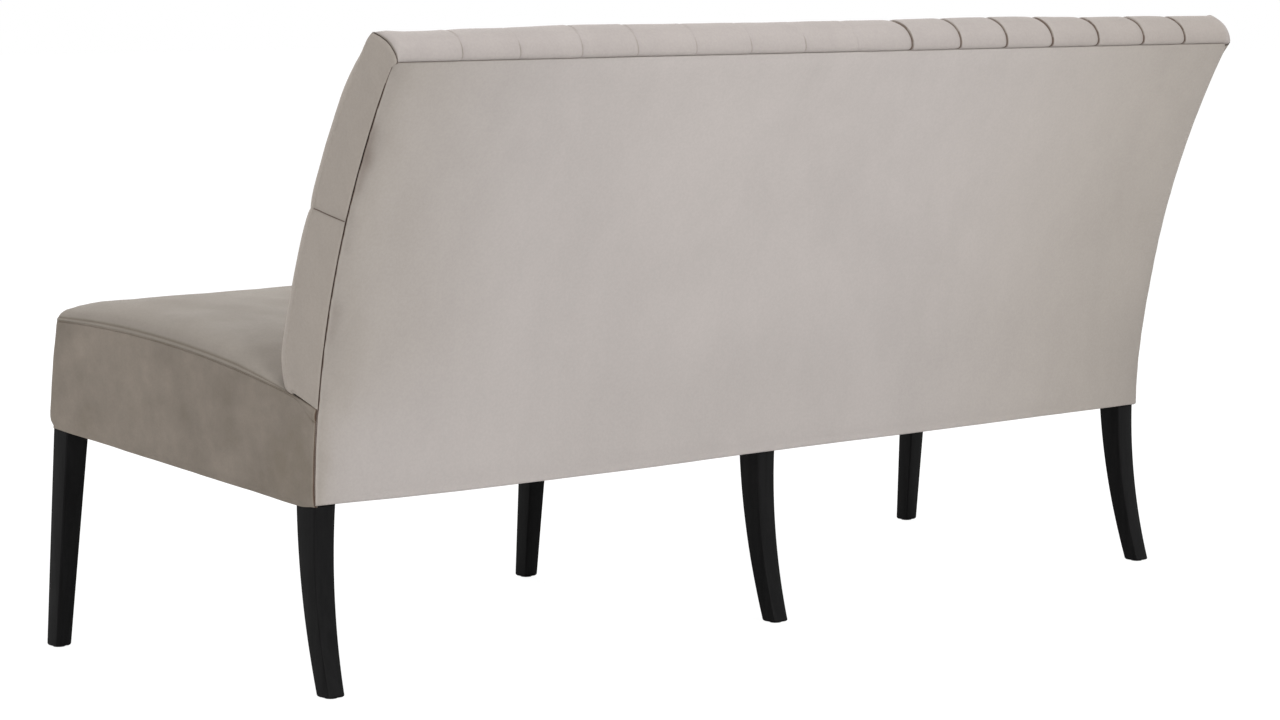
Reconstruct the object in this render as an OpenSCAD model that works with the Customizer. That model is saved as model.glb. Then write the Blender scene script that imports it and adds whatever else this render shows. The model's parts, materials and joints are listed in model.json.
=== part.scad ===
// Upholstered dining sofa on six legs. Its front faces -Y. Lengths in millimetres.
// Origin: on the floor, under the middle of the sofa.
// The seat is built in its own tilted frame: v runs forward from the rear edge, w up from the underside.

/* [Seat] */
// Width of the seat at its rear edge, and of the whole back
back_w = 1722; // [1500:2:2000]
// Extra width of the seat at its front edge
seat_flare = 114; // [40:2:160]
// Length of the seat along its slope, from rear edge to front seam
seat_len = 557; // [510:1:620]
// Height of the seat's rear lower edge above the floor
seat_rear_z = 256; // [240:1:320]
// Angle by which the seat rises towards the front
seat_pitch = 7.2; // [5:0.1:9]
// Height of the side borders at the rear edge, up to the seam
seam_rear_h = 136.5; // [130:0.5:160]
// How far the seam arches above its height at the rear
seam_arch = 31.5; // [20:0.5:40]
// Height of the crowned seat top above its seam
seat_crown = 31; // [18:1:40]
// Radius of the seat's front corners
seat_corner_r = 14; // [14:1:30]
// How far the boxed front face bulges
border_bulge = 9; // [5:1:10]

/* [Back] */
// Height of the seam under the top band
band_seam_z = 860; // [800:1:920]
// Height of the top band above its seam
band_h = 41; // [36:1:55]
// Depth of the top band from front to rear
band_depth = 86; // [80:1:94]
// How far the back leans backward between its foot and the band seam
back_lean = 172; // [140:1:185]
// Thickness of the back at its foot
back_foot_t = 90; // [85:1:97]
// Thickness of the back just under the band
back_head_t = 76; // [72:1:85]
// How far the rolled rear edge of the band stands behind the rear seam
band_overhang = 10; // [8:1:16]
// Number of pleated channels along the top band
channel_count = 16; // [8:2:18]
// Depth of the pleats in the top band
pleat_depth = 5; // [2:0.5:6]
// Puffed height of the outside back panel in its middle
panel_crown = 9; // [4:1:12]

/* [Legs] */
// Width of a front leg at its top, along X
front_leg_top_w = 38; // [32:1:44]
// Depth of a front leg at its top, along Y
front_leg_top_d = 35; // [28:1:38]
// Width and depth of a front foot
front_foot_w = 26; // [24:1:32]
// How far a front foot stands forward of the leg's top
front_leg_rake = 29; // [0:1:40]
// How far an outer front foot stands out beyond the leg's top
front_leg_splay = 2; // [0:1:12]
// Width of a rear leg at its top, along X
rear_leg_top_w = 37; // [28:1:40]
// Depth of a rear leg at its top, along Y
rear_leg_top_d = 41; // [34:1:42]
// Width and depth of a rear foot
rear_foot_w = 28; // [24:1:32]
// How far the sabre curve carries a rear foot backward
rear_leg_sweep = 41; // [10:1:60]
// How far an outer rear foot stands out beyond the leg's top
rear_leg_splay = 5; // [0:1:10]
// Height of the glide under each foot
glide_h = 1.5; // [1:0.5:6]

/* [Frame] */
// Thickness of the rails and cross rails
rail_t = 28; // [25:1:30]
// Height of the seat rails
rail_h = 80; // [74:1:84]
// Width of each back post, along X
post_w = 40; // [30:1:60]
// Thickness of a back post where it laps the rear rail
post_lap_t = 18; // [16:1:19]
// Thickness of a back post at its head
post_head_t = 28; // [24:1:30]
// Side of the square top rail
top_rail_t = 30; // [26:1:32]
// Thickness of the seat covers
cover_t = 3; // [2:0.5:4]
// Thickness of the back cover with its wadding
back_cover_t = 4; // [3:0.5:5]

/* [Hidden] */

leg_black = [0.09, 0.08, 0.08];
beech = [0.80, 0.66, 0.46];
plywood = [0.74, 0.58, 0.38];
steel = [0.70, 0.70, 0.72];
brass = [0.78, 0.68, 0.42];
jute = [0.35, 0.30, 0.24];
foam = [0.86, 0.80, 0.55];
fibre = [0.93, 0.92, 0.88];
black_cloth = [0.12, 0.12, 0.13];
velvet = [0.68, 0.64, 0.60];
velvet_shade = [0.60, 0.56, 0.52];

// clearances and cuts
fit = 0.3;
bore_fit = 0.2;
overrun = 2;
hole_fn = 32;

// insets of the seat frame, measured in from the seam outline
side_share = 1 / 3;
front_inset = border_bulge + cover_t + 2 * bore_fit;
side_inset = cover_t + border_bulge * side_share + fit;
rear_inset = 13;
rail_cut_share = 0.6;
rear_bevel_v = 12;
rear_bevel_w = 3.5;
rail_lift = 1.5;
rail_top = rail_lift + rail_h;

// hardware
stud_d = 8;
stud_in_leg = 30;
stud_in_rail = 28;
insert_d = 11;
insert_len = 20;
bolt_d = 8;
bolt_head_d = 18;
bolt_head_h = 4;
nut_d = 14;
nut_h = 6;
bolt_low_w = stud_in_rail + bolt_d;
bolt_edge_share = 0.8;
bolt_high_w = rail_h - bolt_head_d * bolt_edge_share;
screw_d = 5;
screw_head_d = 10;
screw_head_h = 3;
screw_len = 50;
glide_d = 18;
glide_rim = 0.5;
nail_d = 3;
nail_len = 14;

// soft layers and straps
web_t = 1.5;
web_w = 60;
web_margin = 4;
webs_per_bay = 3;
cross_web_shares = [0.38, 0.66];
back_web_shares = [0.34, 0.5, 0.66, 0.82];
dust_t = 1;
foam_gap = 5;
wadding_gap = 10;
panel_t = 3.7;
panel_foot_lift = 9;
button_d = 22;
button_h = 7;
button_rim = 2;
button_row_pitch = 105;
button_row_drop = 100;
button_rows = 3;
button_sides = 10;

// rounding of legs, corners and crown
leg_edge_r = 3;
foot_chamfer = 1.5;
foot_chamfer_share = 0.01;
leg_ring_count = 9;
leg_taper_power = 1.4;
corner_steps = 5;
side_steps = 9;
seam_peak_share = 0.61;
tuck_v = 64;
tuck_roll = 7;
rear_ramp = 110;
block_len = 80;
block_t = 24;
edge_round = 8;
pleat_half_w = 8;
// inset and rise of the rings of the crown, from the seam to the middle
crown_insets = [0, 5, 14, 32, 70, 130, 200];
crown_rise_shares = [0, 0.38, 0.64, 0.84, 0.95, 0.99, 1];
// height and outward offset of the border's bulge
bulge_height_shares = [0, 0.14, 0.4, 0.7, 1];
bulge_offset_shares = [-1, -0.1, 0.4, 0.5, 0];
// distance from the panel's side edge and share of its crown reached there
panel_edge_insets = [0, 6, 20, 60, 160];
panel_edge_shares = [0, 0.35, 0.7, 0.95, 1];
// inset of the back cover's rounded side edge
end_distances = [0, 3, 9, 20];
end_inset_shares = [1, 0.45, 0.12, 0];
// angles of the points round the rolled band, from the front to the rear
front_roll_angles = [180, 150, 120, 96];
rear_roll_angles = [66, 33, 0];
inner_roll_angles = [180, 150, 120, 90];
band_roll_share = 0.8;
panel_foot_share = 0.25;

back_half = back_w / 2;
splay = atan(seat_flare / 2 / seat_len);
channel_w = back_w / channel_count;

// the front feet and the rolled top band bound the sofa, and the origin lies midway between them
front_leg_v = seat_len - border_bulge - front_leg_top_d / 2;
front_reach = front_leg_v * cos(seat_pitch) + front_leg_rake + front_foot_w / 2;
rear_reach = back_lean + band_overhang;
seat_rear_y = (front_reach - rear_reach) / 2;

function lerp(a, b, t) = a + (b - a) * t;
function half_w(v) = back_half + seat_flare / 2 * v / seat_len;
function frame_x(v) = half_w(v) - side_inset;

// height of the seat's top seam above the underside, an arch along v
seam_peak_v = seam_peak_share * seat_len;
function seam_w(v) = seam_rear_h + seam_arch * (1 - pow((v - seam_peak_v) / seam_peak_v, 2));

// a point of the tilted seat frame as seen from the side, in Y and Z
function side_point(v, w) = [
    seat_rear_y - v * cos(seat_pitch) + w * sin(seat_pitch),
    seat_rear_z + v * sin(seat_pitch) + w * cos(seat_pitch)
];
// height of the plane w = lift over a place on the floor
function plane_z(y, lift) = seat_rear_z + (seat_rear_y - y) * tan(seat_pitch) + lift / cos(seat_pitch);

// the rear seam of the back leans along a parabola from its foot to the band seam
foot_z = seat_rear_z + panel_foot_lift;
back_rise = band_seam_z - foot_z;
function rise_share(z) = max(0, z - foot_z) / back_rise;
function rear_y(z) = seat_rear_y + back_lean * pow(rise_share(z), 2);
function front_y(z) = rear_y(z) - lerp(back_foot_t, back_head_t, rise_share(z));

// a closed solid through rings of equal point count, with ladder caps on the first and last ring
module skin(rings) {
    n = len(rings[0]);
    last = (len(rings) - 1) * n;
    sides = [
        for (i = [0 : len(rings) - 2])
            for (j = [0 : n - 1])
                let (a = i * n + j, b = i * n + (j + 1) % n)
                each [[a, a + n, b], [a + n, b + n, b]]
    ];
    caps = [
        for (i = [0 : n / 2 - 2])
            let (far = n - 1 - i)
            each [
                [i, i + 1, far],
                [i + 1, far - 1, far],
                [last + i, last + far, last + i + 1],
                [last + i + 1, last + far, last + far - 1]
            ]
    ];
    polyhedron([for (r = rings) each r], concat(sides, caps));
}

// moves its children into the tilted frame of the seat, where y = -v and z = w
module seat_plane() {
    translate([0, seat_rear_y, seat_rear_z])
        rotate([-seat_pitch, 0, 0])
            children();
}

// a prism in the tilted frame, from plan points [x, v] and two heights
module plan_prism(points, low, high) {
    seat_plane()
        translate([0, 0, low])
            linear_extrude(high - low)
                polygon([for (p = points) [p[0], -p[1]]]);
}

// a prism along X from side points [y, z]
module side_prism(points, x0, x1) {
    translate([x0, 0, 0])
        rotate([90, 0, 90])
            linear_extrude(x1 - x0)
                polygon(points);
}

// Legs
rear_leg_v = rear_inset + rail_t / 2;
front_leg_y = side_point(front_leg_v, 0)[0];
rear_leg_y = side_point(rear_leg_v, 0)[0];
front_leg_x = half_w(front_leg_v) - border_bulge * side_share - front_leg_top_w / 2;
rear_leg_x = back_half - border_bulge * side_share - rear_leg_top_w / 2;
front_leg_places = [-front_leg_x, 0, front_leg_x];
rear_leg_places = [-rear_leg_x, 0, rear_leg_x];
front_foot_y = front_leg_y - front_leg_rake;
rear_foot_y = rear_leg_y + rear_leg_sweep;
function front_foot_x(x) = x + sign(x) * ((front_leg_top_w - front_foot_w) / 2 + front_leg_splay);
function rear_foot_x(x) = x + sign(x) * ((rear_leg_top_w - rear_foot_w) / 2 + rear_leg_splay);

// a rounded rectangle of 12 points around [x, y], at share t of the leg's height
function leg_ring(x, y, w, d, t) = [
    for (q = [[1, 1], [-1, 1], [-1, -1], [1, -1]])
        for (k = q[0] * q[1] > 0 ? [0, 45, 90] : [90, 45, 0])
            let (
                px = x + q[0] * (w / 2 - leg_edge_r + leg_edge_r * cos(k)),
                py = y + q[1] * (d / 2 - leg_edge_r + leg_edge_r * sin(k))
            )
            [px, py, lerp(glide_h, plane_z(py, rail_lift - bore_fit), t)]
];

leg_stations = concat(0, [for (i = [0 : leg_ring_count]) lerp(foot_chamfer_share, 1, i / leg_ring_count)]);
function chamfer(t) = t == 0 ? 2 * foot_chamfer : 0;

module leg_bores(x, v, foot) {
    seat_plane()
        translate([x, -v, rail_lift - stud_in_leg - bore_fit])
            cylinder(h = stud_in_leg + overrun, d = stud_d + 2 * bore_fit, $fn = hole_fn);
    translate([foot[0], foot[1], glide_h - overrun])
        cylinder(h = nail_len + overrun + bore_fit, d = nail_d + 2 * bore_fit, $fn = hole_fn);
}

module front_leg(x) {
    color(leg_black)
        difference() {
            skin([
                for (t = leg_stations)
                    leg_ring(
                        lerp(front_foot_x(x), x, t),
                        lerp(front_foot_y, front_leg_y, t),
                        lerp(front_foot_w, front_leg_top_w, t) - chamfer(t),
                        lerp(front_foot_w, front_leg_top_d, t) - chamfer(t),
                        t
                    )
            ]);
            leg_bores(x, front_leg_v, [front_foot_x(x), front_foot_y]);
        }
}

module rear_leg(x) {
    color(leg_black)
        difference() {
            skin([
                for (t = leg_stations)
                    leg_ring(
                        lerp(rear_foot_x(x), x, t),
                        rear_leg_y + rear_leg_sweep * pow(1 - t, 2),
                        lerp(rear_foot_w, rear_leg_top_w, t) - chamfer(t),
                        lerp(rear_foot_w, rear_leg_top_d, pow(t, leg_taper_power)) - chamfer(t),
                        t
                    )
            ]);
            leg_bores(x, rear_leg_v, [rear_foot_x(x), rear_foot_y]);
        }
}

module front_leg_left() { front_leg(-front_leg_x); }
module front_leg_centre() { front_leg(0); }
module front_leg_right() { front_leg(front_leg_x); }
module rear_leg_left() { rear_leg(-rear_leg_x); }
module rear_leg_centre() { rear_leg(0); }
module rear_leg_right() { rear_leg(rear_leg_x); }

module glide(x, y) {
    translate([x, y, 0])
        rotate_extrude($fn = hole_fn)
            polygon([
                [0, 0],
                [glide_d / 2 - glide_rim, 0],
                [glide_d / 2, glide_rim],
                [glide_d / 2, glide_h],
                [nail_d / 2, glide_h],
                [nail_d / 2, glide_h + nail_len],
                [0, glide_h + nail_len]
            ]);
}

module foot_glides() {
    color(steel) {
        for (x = front_leg_places)
            glide(front_foot_x(x), front_foot_y);
        for (x = rear_leg_places)
            glide(rear_foot_x(x), rear_foot_y);
    }
}

// draws its children at each leg's stud, with the origin on the underside of the rails
module at_leg_studs() {
    seat_plane() {
        for (x = front_leg_places)
            translate([x, -front_leg_v, rail_lift])
                children();
        for (x = rear_leg_places)
            translate([x, -rear_leg_v, rail_lift])
                children();
    }
}

module leg_studs() {
    color(steel)
        at_leg_studs()
            translate([0, 0, -stud_in_leg])
                cylinder(h = stud_in_leg + stud_in_rail, d = stud_d, $fn = hole_fn);
}

module leg_inserts() {
    color(brass)
        at_leg_studs()
            translate([0, 0, bore_fit])
                difference() {
                    cylinder(h = insert_len, d = insert_d, $fn = hole_fn);
                    translate([0, 0, -overrun])
                        cylinder(h = insert_len + 2 * overrun, d = stud_d + 2 * bore_fit, $fn = hole_fn);
                }
}

// the wide bore takes the insert, the narrow one the tip of the stud
module rail_bores() {
    at_leg_studs() {
        translate([0, 0, -overrun])
            cylinder(h = overrun + insert_len + 2 * bore_fit, d = insert_d + 2 * bore_fit, $fn = hole_fn);
        translate([0, 0, -overrun])
            cylinder(h = overrun + stud_in_rail + bore_fit, d = stud_d + 2 * bore_fit, $fn = hole_fn);
    }
}

// Seat frame
rail_front_v = seat_len - front_inset;
rail_front_in = rail_front_v - rail_t;
rail_rear_in = rear_inset + rail_t;
lap_rear_v = rail_rear_in + bore_fit;
lap_front_v = lap_rear_v + post_lap_t;

// the front rail's outer corners are cut to follow the rounded corners of the seat
module front_rail() {
    cut = seat_corner_r * rail_cut_share;
    end_x = frame_x(rail_front_in);
    color(beech)
        difference() {
            plan_prism([
                [-end_x, rail_front_in],
                [-end_x, rail_front_v - cut],
                [cut - end_x, rail_front_v],
                [end_x - cut, rail_front_v],
                [end_x, rail_front_v - cut],
                [end_x, rail_front_in]
            ], rail_lift, rail_top);
            rail_bores();
        }
}

// the rear rail's lower rear edge is planed off, so that it stays behind the cloth
module rear_rail() {
    color(beech)
        difference() {
            side_prism([
                side_point(rear_inset, rail_lift + rear_bevel_w),
                side_point(rear_inset, rail_top),
                side_point(rail_rear_in, rail_top),
                side_point(rail_rear_in, rail_lift),
                side_point(rear_inset + rear_bevel_v, rail_lift)
            ], -frame_x(rear_inset), frame_x(rear_inset));
            rail_bores();
            post_bolt_bores();
        }
}

// side rails and cross rails butt against the laps of the posts
rail_v0 = lap_front_v + bore_fit;
rail_v1 = rail_front_in - bore_fit;

module side_rail(s) {
    color(beech)
        plan_prism([
            [s * frame_x(rail_v0), rail_v0],
            [s * frame_x(rail_v1), rail_v1],
            [s * (frame_x(rail_v1) - rail_t), rail_v1],
            [s * (frame_x(rail_v0) - rail_t), rail_v0]
        ], rail_lift, rail_top);
}

module cross_rail(x) {
    color(beech)
        plan_prism([
            [x - rail_t / 2, rail_v0],
            [x - rail_t / 2, rail_v1],
            [x + rail_t / 2, rail_v1],
            [x + rail_t / 2, rail_v0]
        ], rail_lift, rail_top);
}

module side_rail_left() { side_rail(-1); }
module side_rail_right() { side_rail(1); }
module cross_rail_left() { cross_rail(-post_edge_x / 2); }
module cross_rail_centre() { cross_rail(0); }
module cross_rail_right() { cross_rail(post_edge_x / 2); }

// corner blocks stand on the inner faces of the side rails, the rear ones notched round a post's lap
block_low = rail_lift + rail_h / 4;
block_high = rail_top - rail_h / 8;
function side_rail_in_x(v) = frame_x(v) - rail_t - bore_fit;

module corner_block_front(s) {
    color(plywood)
        plan_prism([
            [s * side_rail_in_x(rail_v1), rail_v1],
            [s * side_rail_in_x(rail_v1 - block_len), rail_v1 - block_len],
            [s * (side_rail_in_x(rail_v1 - block_len) - block_t), rail_v1 - block_len],
            [s * (side_rail_in_x(rail_v1) - block_len), rail_v1 - block_t],
            [s * (side_rail_in_x(rail_v1) - block_len), rail_v1]
        ], block_low, block_high);
}

module corner_block_rear(s) {
    post_in_x = post_edge_x - post_w / 2 - bore_fit;
    rear_v = rail_rear_in + bore_fit;
    color(plywood)
        plan_prism([
            [s * post_in_x, rear_v],
            [s * post_in_x, rail_v0 + bore_fit],
            [s * side_rail_in_x(rail_v0 + bore_fit), rail_v0 + bore_fit],
            [s * side_rail_in_x(rail_v0 + block_len), rail_v0 + block_len],
            [s * (side_rail_in_x(rail_v0) - block_t), rail_v0 + block_len],
            [s * (post_in_x - block_len), rear_v + block_t],
            [s * (post_in_x - block_len), rear_v]
        ], block_low, block_high);
}

module corner_block_front_left() { corner_block_front(-1); }
module corner_block_front_right() { corner_block_front(1); }
module corner_block_rear_left() { corner_block_rear(-1); }
module corner_block_rear_right() { corner_block_rear(1); }

// Back frame
side_wall = 9;
post_edge_x = back_half - side_wall - fit - post_w / 2;
post_bays = 4;
post_places = [for (k = [0 : post_bays]) lerp(-post_edge_x, post_edge_x, k / post_bays)];
post_steps = 16;
top_rail_share = 1.5;
stretcher_share = 0.58;
post_shoulder = [
    rear_y(seat_rear_z + rail_top) - wadding_gap,
    plane_z(rear_y(seat_rear_z + rail_top) - wadding_gap, rail_top + bore_fit)
];
post_shoulder_t = post_shoulder[0] - side_point(lap_front_v, rail_top)[0];
top_rail_z = band_seam_z - top_rail_t * top_rail_share;
function post_rear_y(z) = rear_y(z) - wadding_gap;
function post_front_y(z) =
    post_rear_y(z) - lerp(post_shoulder_t, post_head_t, (z - post_shoulder[1]) / (top_rail_z - post_shoulder[1]));
post_zs = [for (i = [1 : post_steps]) lerp(post_shoulder[1], top_rail_z, i / post_steps)];
post_outline = concat(
    [side_point(lap_rear_v, rail_lift), side_point(lap_rear_v, rail_top + bore_fit), post_shoulder],
    [for (z = post_zs) [post_rear_y(z), z]],
    [for (i = [len(post_zs) - 1 : -1 : 0]) [post_front_y(post_zs[i]), post_zs[i]]],
    [side_point(lap_front_v, rail_top), side_point(lap_front_v, rail_lift)]
);

module back_post(x) {
    color(plywood)
        difference() {
            side_prism(post_outline, x - post_w / 2, x + post_w / 2);
            post_bolt_bores();
            top_screw_bores();
        }
}

module back_post_left() { back_post(post_places[0]); }
module back_post_inner_left() { back_post(post_places[1]); }
module back_post_centre() { back_post(post_places[2]); }
module back_post_inner_right() { back_post(post_places[3]); }
module back_post_right() { back_post(post_places[4]); }

// draws its children at each post bolt, with the origin in the rail's rear face and Z running forward
module at_post_bolts() {
    seat_plane()
        for (x = post_places)
            for (w = [bolt_low_w, bolt_high_w])
                translate([x, -rear_inset, rail_lift + w])
                    rotate([90, 0, 0])
                        children();
}

bolt_span = rail_t + bore_fit + post_lap_t;

module post_bolt_bores() {
    at_post_bolts() {
        translate([0, 0, -overrun])
            cylinder(h = bolt_span + 2 * overrun, d = bolt_d + 2 * bore_fit, $fn = hole_fn);
        translate([0, 0, -overrun])
            cylinder(h = overrun + bolt_head_h + 2 * bore_fit, d = bolt_head_d + 2 * bore_fit, $fn = hole_fn);
        translate([0, 0, bolt_span - nut_h - 2 * bore_fit])
            cylinder(h = nut_h + overrun + 2 * bore_fit, d = nut_d + 2 * bore_fit, $fn = hole_fn);
    }
}

module post_bolts() {
    color(steel)
        at_post_bolts() {
            translate([0, 0, bore_fit])
                cylinder(h = bolt_head_h, d = bolt_head_d, $fn = hole_fn);
            translate([0, 0, bore_fit])
                cylinder(h = bolt_span - 2 * bore_fit, d = bolt_d, $fn = hole_fn);
        }
}

module post_nuts() {
    color(steel)
        at_post_bolts()
            translate([0, 0, bolt_span - nut_h - bore_fit])
                difference() {
                    cylinder(h = nut_h, d = nut_d, $fn = 6);
                    translate([0, 0, -overrun])
                        cylinder(h = nut_h + 2 * overrun, d = bolt_d + 2 * bore_fit, $fn = hole_fn);
                }
}

// Top rail, on the heads of the posts
top_rail_rear_y = post_rear_y(top_rail_z);

module back_top_rail() {
    rail_x = post_edge_x + post_w / 2;
    color(beech)
        difference() {
            side_prism([
                [top_rail_rear_y - top_rail_t, top_rail_z + bore_fit],
                [top_rail_rear_y, top_rail_z + bore_fit],
                [top_rail_rear_y, top_rail_z + top_rail_t],
                [top_rail_rear_y - top_rail_t, top_rail_z + top_rail_t]
            ], -rail_x, rail_x);
            top_screw_bores();
        }
}

module at_top_screws() {
    for (x = post_places)
        translate([x, top_rail_rear_y - post_head_t / 2, top_rail_z + top_rail_t])
            rotate([180, 0, 0])
                children();
}

module top_screw_bores() {
    at_top_screws() {
        translate([0, 0, -overrun])
            cylinder(h = overrun + screw_len + bore_fit, d = screw_d + 2 * bore_fit, $fn = hole_fn);
        translate([0, 0, -overrun])
            cylinder(h = overrun + screw_head_h + 2 * bore_fit, d = screw_head_d + 2 * bore_fit, $fn = hole_fn);
    }
}

module top_rail_screws() {
    color(steel)
        at_top_screws() {
            translate([0, 0, bore_fit])
                cylinder(h = screw_head_h, d = screw_head_d, $fn = hole_fn);
            translate([0, 0, bore_fit])
                cylinder(h = screw_len - bore_fit, d = screw_d, $fn = hole_fn);
        }
}

// one stretcher between each pair of posts
stretcher_z = lerp(foot_z, band_seam_z, stretcher_share);
module back_stretchers() {
    low = stretcher_z - post_w / 2;
    high = stretcher_z + post_w / 2;
    color(plywood)
        for (i = [0 : len(post_places) - 2])
            side_prism([
                [post_front_y(low), low],
                [post_rear_y(low), low],
                [post_rear_y(high), high],
                [post_front_y(high), high]
            ], post_places[i] + post_w / 2 + bore_fit, post_places[i + 1] - post_w / 2 - bore_fit);
}

// Webbing
module seat_webbing() {
    color(jute)
        for (i = [0 : post_bays - 1])
            for (k = [1 : webs_per_bay])
                let (x = lerp(post_places[i], post_places[i + 1], k / (webs_per_bay + 1)))
                plan_prism([
                    [x - web_w / 2, rear_inset + web_margin],
                    [x - web_w / 2, rail_front_v - web_margin],
                    [x + web_w / 2, rail_front_v - web_margin],
                    [x + web_w / 2, rear_inset + web_margin]
                ], rail_top, rail_top + web_t);
}

module seat_cross_webbing() {
    color(jute)
        for (share = cross_web_shares)
            let (v = share * seat_len, x = frame_x(v) - web_margin)
            plan_prism([
                [-x, v - web_w / 2],
                [-x, v + web_w / 2],
                [x, v + web_w / 2],
                [x, v - web_w / 2]
            ], rail_top + web_t, rail_top + 2 * web_t);
}

module back_webbing() {
    web_x = post_edge_x + post_w / 2;
    color(jute)
        for (share = back_web_shares)
            let (
                z = lerp(foot_z, band_seam_z, share),
                zs = [z - web_w / 2, z - web_w / 4, z, z + web_w / 4, z + web_w / 2]
            )
            side_prism(concat(
                [for (h = zs) [post_front_y(h) - fit, h]],
                [for (i = [len(zs) - 1 : -1 : 0]) [post_front_y(zs[i]) - fit - web_t, zs[i]]]
            ), -web_x, web_x);
}

// Seat cushion: the outline runs from the tuck under the back round the front corners
corner_v = seat_len - seat_corner_r;
corner_x = half_w(corner_v) - seat_corner_r / cos(splay);
side_end_v = corner_v - seat_corner_r * sin(splay);
function side_outline(v0) = [
    for (i = [0 : side_steps])
        let (v = lerp(v0, side_end_v, i / side_steps))
        [half_w(v), v, cos(splay), -sin(splay)]
];
corner_outline = [
    for (i = [1 : corner_steps])
        let (a = lerp(-splay, 90, i / corner_steps))
        [corner_x + seat_corner_r * cos(a), corner_v + seat_corner_r * sin(a), cos(a), sin(a)]
];
cushion_outline = concat(side_outline(tuck_v), corner_outline);
cushion_mid_v = (tuck_v + seat_len) / 2;
cushion_half_l = (seat_len - tuck_v) / 2;

// one ring of the cushion, drawn in by an inset, at the seam's height plus a rise less a drop
function cushion_ring(inset, rise, drop) =
    let (
        half = [
            for (p = cushion_outline)
                let (
                    x = p[0] * (1 - inset / back_half),
                    v = cushion_mid_v + (p[1] - cushion_mid_v) * (1 - inset / cushion_half_l),
                    ramp = min(1, max(0, (v - tuck_v) / rear_ramp))
                )
                [x, -v, seam_w(v) + rise * ramp - drop]
        ]
    )
    mirrored(half);

// a ring of points followed by its mirror image, back to the start
function mirrored(half) = concat(half, [for (i = [len(half) - 1 : -1 : 0]) [-half[i][0], half[i][1], half[i][2]]]);
function crown_rings(inset, drop) = [
    for (i = [0 : len(crown_insets) - 1])
        cushion_ring(crown_insets[i] + inset, seat_crown * crown_rise_shares[i], drop)
];
function backward(list) = [for (i = [len(list) - 1 : -1 : 0]) list[i]];

cover_inset = cover_t + fit;

module seat_top_cover() {
    color(velvet)
        seat_plane()
            skin(concat(
                backward(crown_rings(0, -fit)),
                [cushion_ring(cover_inset, 0, -fit)],
                crown_rings(cover_inset, cover_t)
            ));
}

module seat_foam() {
    low = [for (p = cushion_ring(cover_t + 3 * fit, 0, 0)) [p[0], p[1], rail_top + 2 * web_t + fit]];
    color(foam)
        seat_plane()
            skin(concat(backward(crown_rings(cover_t + 3 * fit, cover_t + foam_gap)), [low]));
}

// Borders of the seat: a strip of cover that follows the outline, bulging outward
function border_point(p, w_share, offset) =
    let (
        v = p[1] + p[3] * offset,
        w = lerp(rail_lift, seam_w(v) - fit, w_share)
    )
    [p[0] + p[2] * offset, -v, w];
function border_ring(p) =
    let (
        amount = border_bulge * lerp(side_share, 1, max(0, p[3])),
        outer = [
            for (k = [0 : len(bulge_height_shares) - 1])
                border_point(p, bulge_height_shares[k], amount * bulge_offset_shares[k])
        ],
        inner = [
            for (k = [0 : len(bulge_height_shares) - 1])
                border_point(p, bulge_height_shares[k], amount * bulge_offset_shares[k] - cover_t)
        ]
    )
    concat(outer, backward(inner));

// the rear edge of a side border follows the foot of the outside back panel
function rear_edge_v(w) =
    let (y = rear_y(seat_rear_z + w * cos(seat_pitch)) - back_cover_t)
    (seat_rear_y + w * sin(seat_pitch) - y) / cos(seat_pitch);
function rear_cut(ring) = [for (p = ring) let (v = rear_edge_v(p[2])) [p[0] + (v + p[1]) * tan(splay), -v, p[2]]];

side_stations = [
    for (p = side_outline(tuck_v))
        p[1] < side_end_v ? p : [half_w(side_end_v - bore_fit), side_end_v - bore_fit, p[2], p[3]]
];

module seat_side_border(s) {
    color(velvet_shade)
        mirror([s < 0 ? 1 : 0, 0, 0])
            seat_plane()
                skin(concat([rear_cut(border_ring(side_outline(0)[0]))], [for (p = side_stations) border_ring(p)]));
}

module seat_side_border_left() { seat_side_border(-1); }
module seat_side_border_right() { seat_side_border(1); }

module seat_front_border() {
    half = [for (p = concat([side_outline(tuck_v)[side_steps]], corner_outline)) border_ring(p)];
    color(velvet_shade)
        seat_plane()
            skin(concat(half, [for (r = backward(half)) [for (p = r) [-p[0], p[1], p[2]]]]));
}

dust_rear_v = rear_inset + rear_bevel_v;

module dust_cover() {
    color(black_cloth)
        difference() {
            plan_prism([
                [-frame_x(dust_rear_v), dust_rear_v],
                [-frame_x(rail_front_in), rail_front_v],
                [frame_x(rail_front_in), rail_front_v],
                [frame_x(dust_rear_v), dust_rear_v]
            ], rail_lift - dust_t, rail_lift);
            seat_plane() {
                for (x = front_leg_places)
                    leg_notch([x, front_leg_v], front_leg_top_w, front_leg_top_d);
                for (x = rear_leg_places)
                    leg_notch([x, rear_leg_v], rear_leg_top_w, rear_leg_top_d);
            }
        }
}

module leg_notch(place, w, d) {
    gap = 2 * dust_t;
    translate([place[0] - w / 2 - gap, -place[1] - d / 2 - gap, -overrun])
        cube([w + 2 * gap, d + 2 * gap, rail_lift + 2 * overrun]);
}

// Inside back cover: its outline from the side, drawn in by e at the rounded edges and by d in a pleat
band_rear_y = rear_y(band_seam_z) + band_overhang;
band_mid_y = band_rear_y - band_depth / 2;
band_roll_z = band_seam_z + band_h * (1 - band_roll_share);
band_roll_h = band_h * band_roll_share;
tuck_point = side_point(tuck_v + cover_t * side_share, seam_w(tuck_v) + 3 * fit);
tuck_z = tuck_point[1] + 3 * tuck_roll;
low_back_z = tuck_point[1] + 7 * tuck_roll;
row_zs = [for (k = [button_rows - 1 : -1 : 0]) band_seam_z - button_row_drop - k * button_row_pitch];
front_zs = concat([low_back_z], row_zs);
rear_foot = let (w = seam_w(0) + 3 * fit, z = side_point(rear_edge_v(w), w)[1]) [rear_y(z) - back_cover_t, z];

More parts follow.
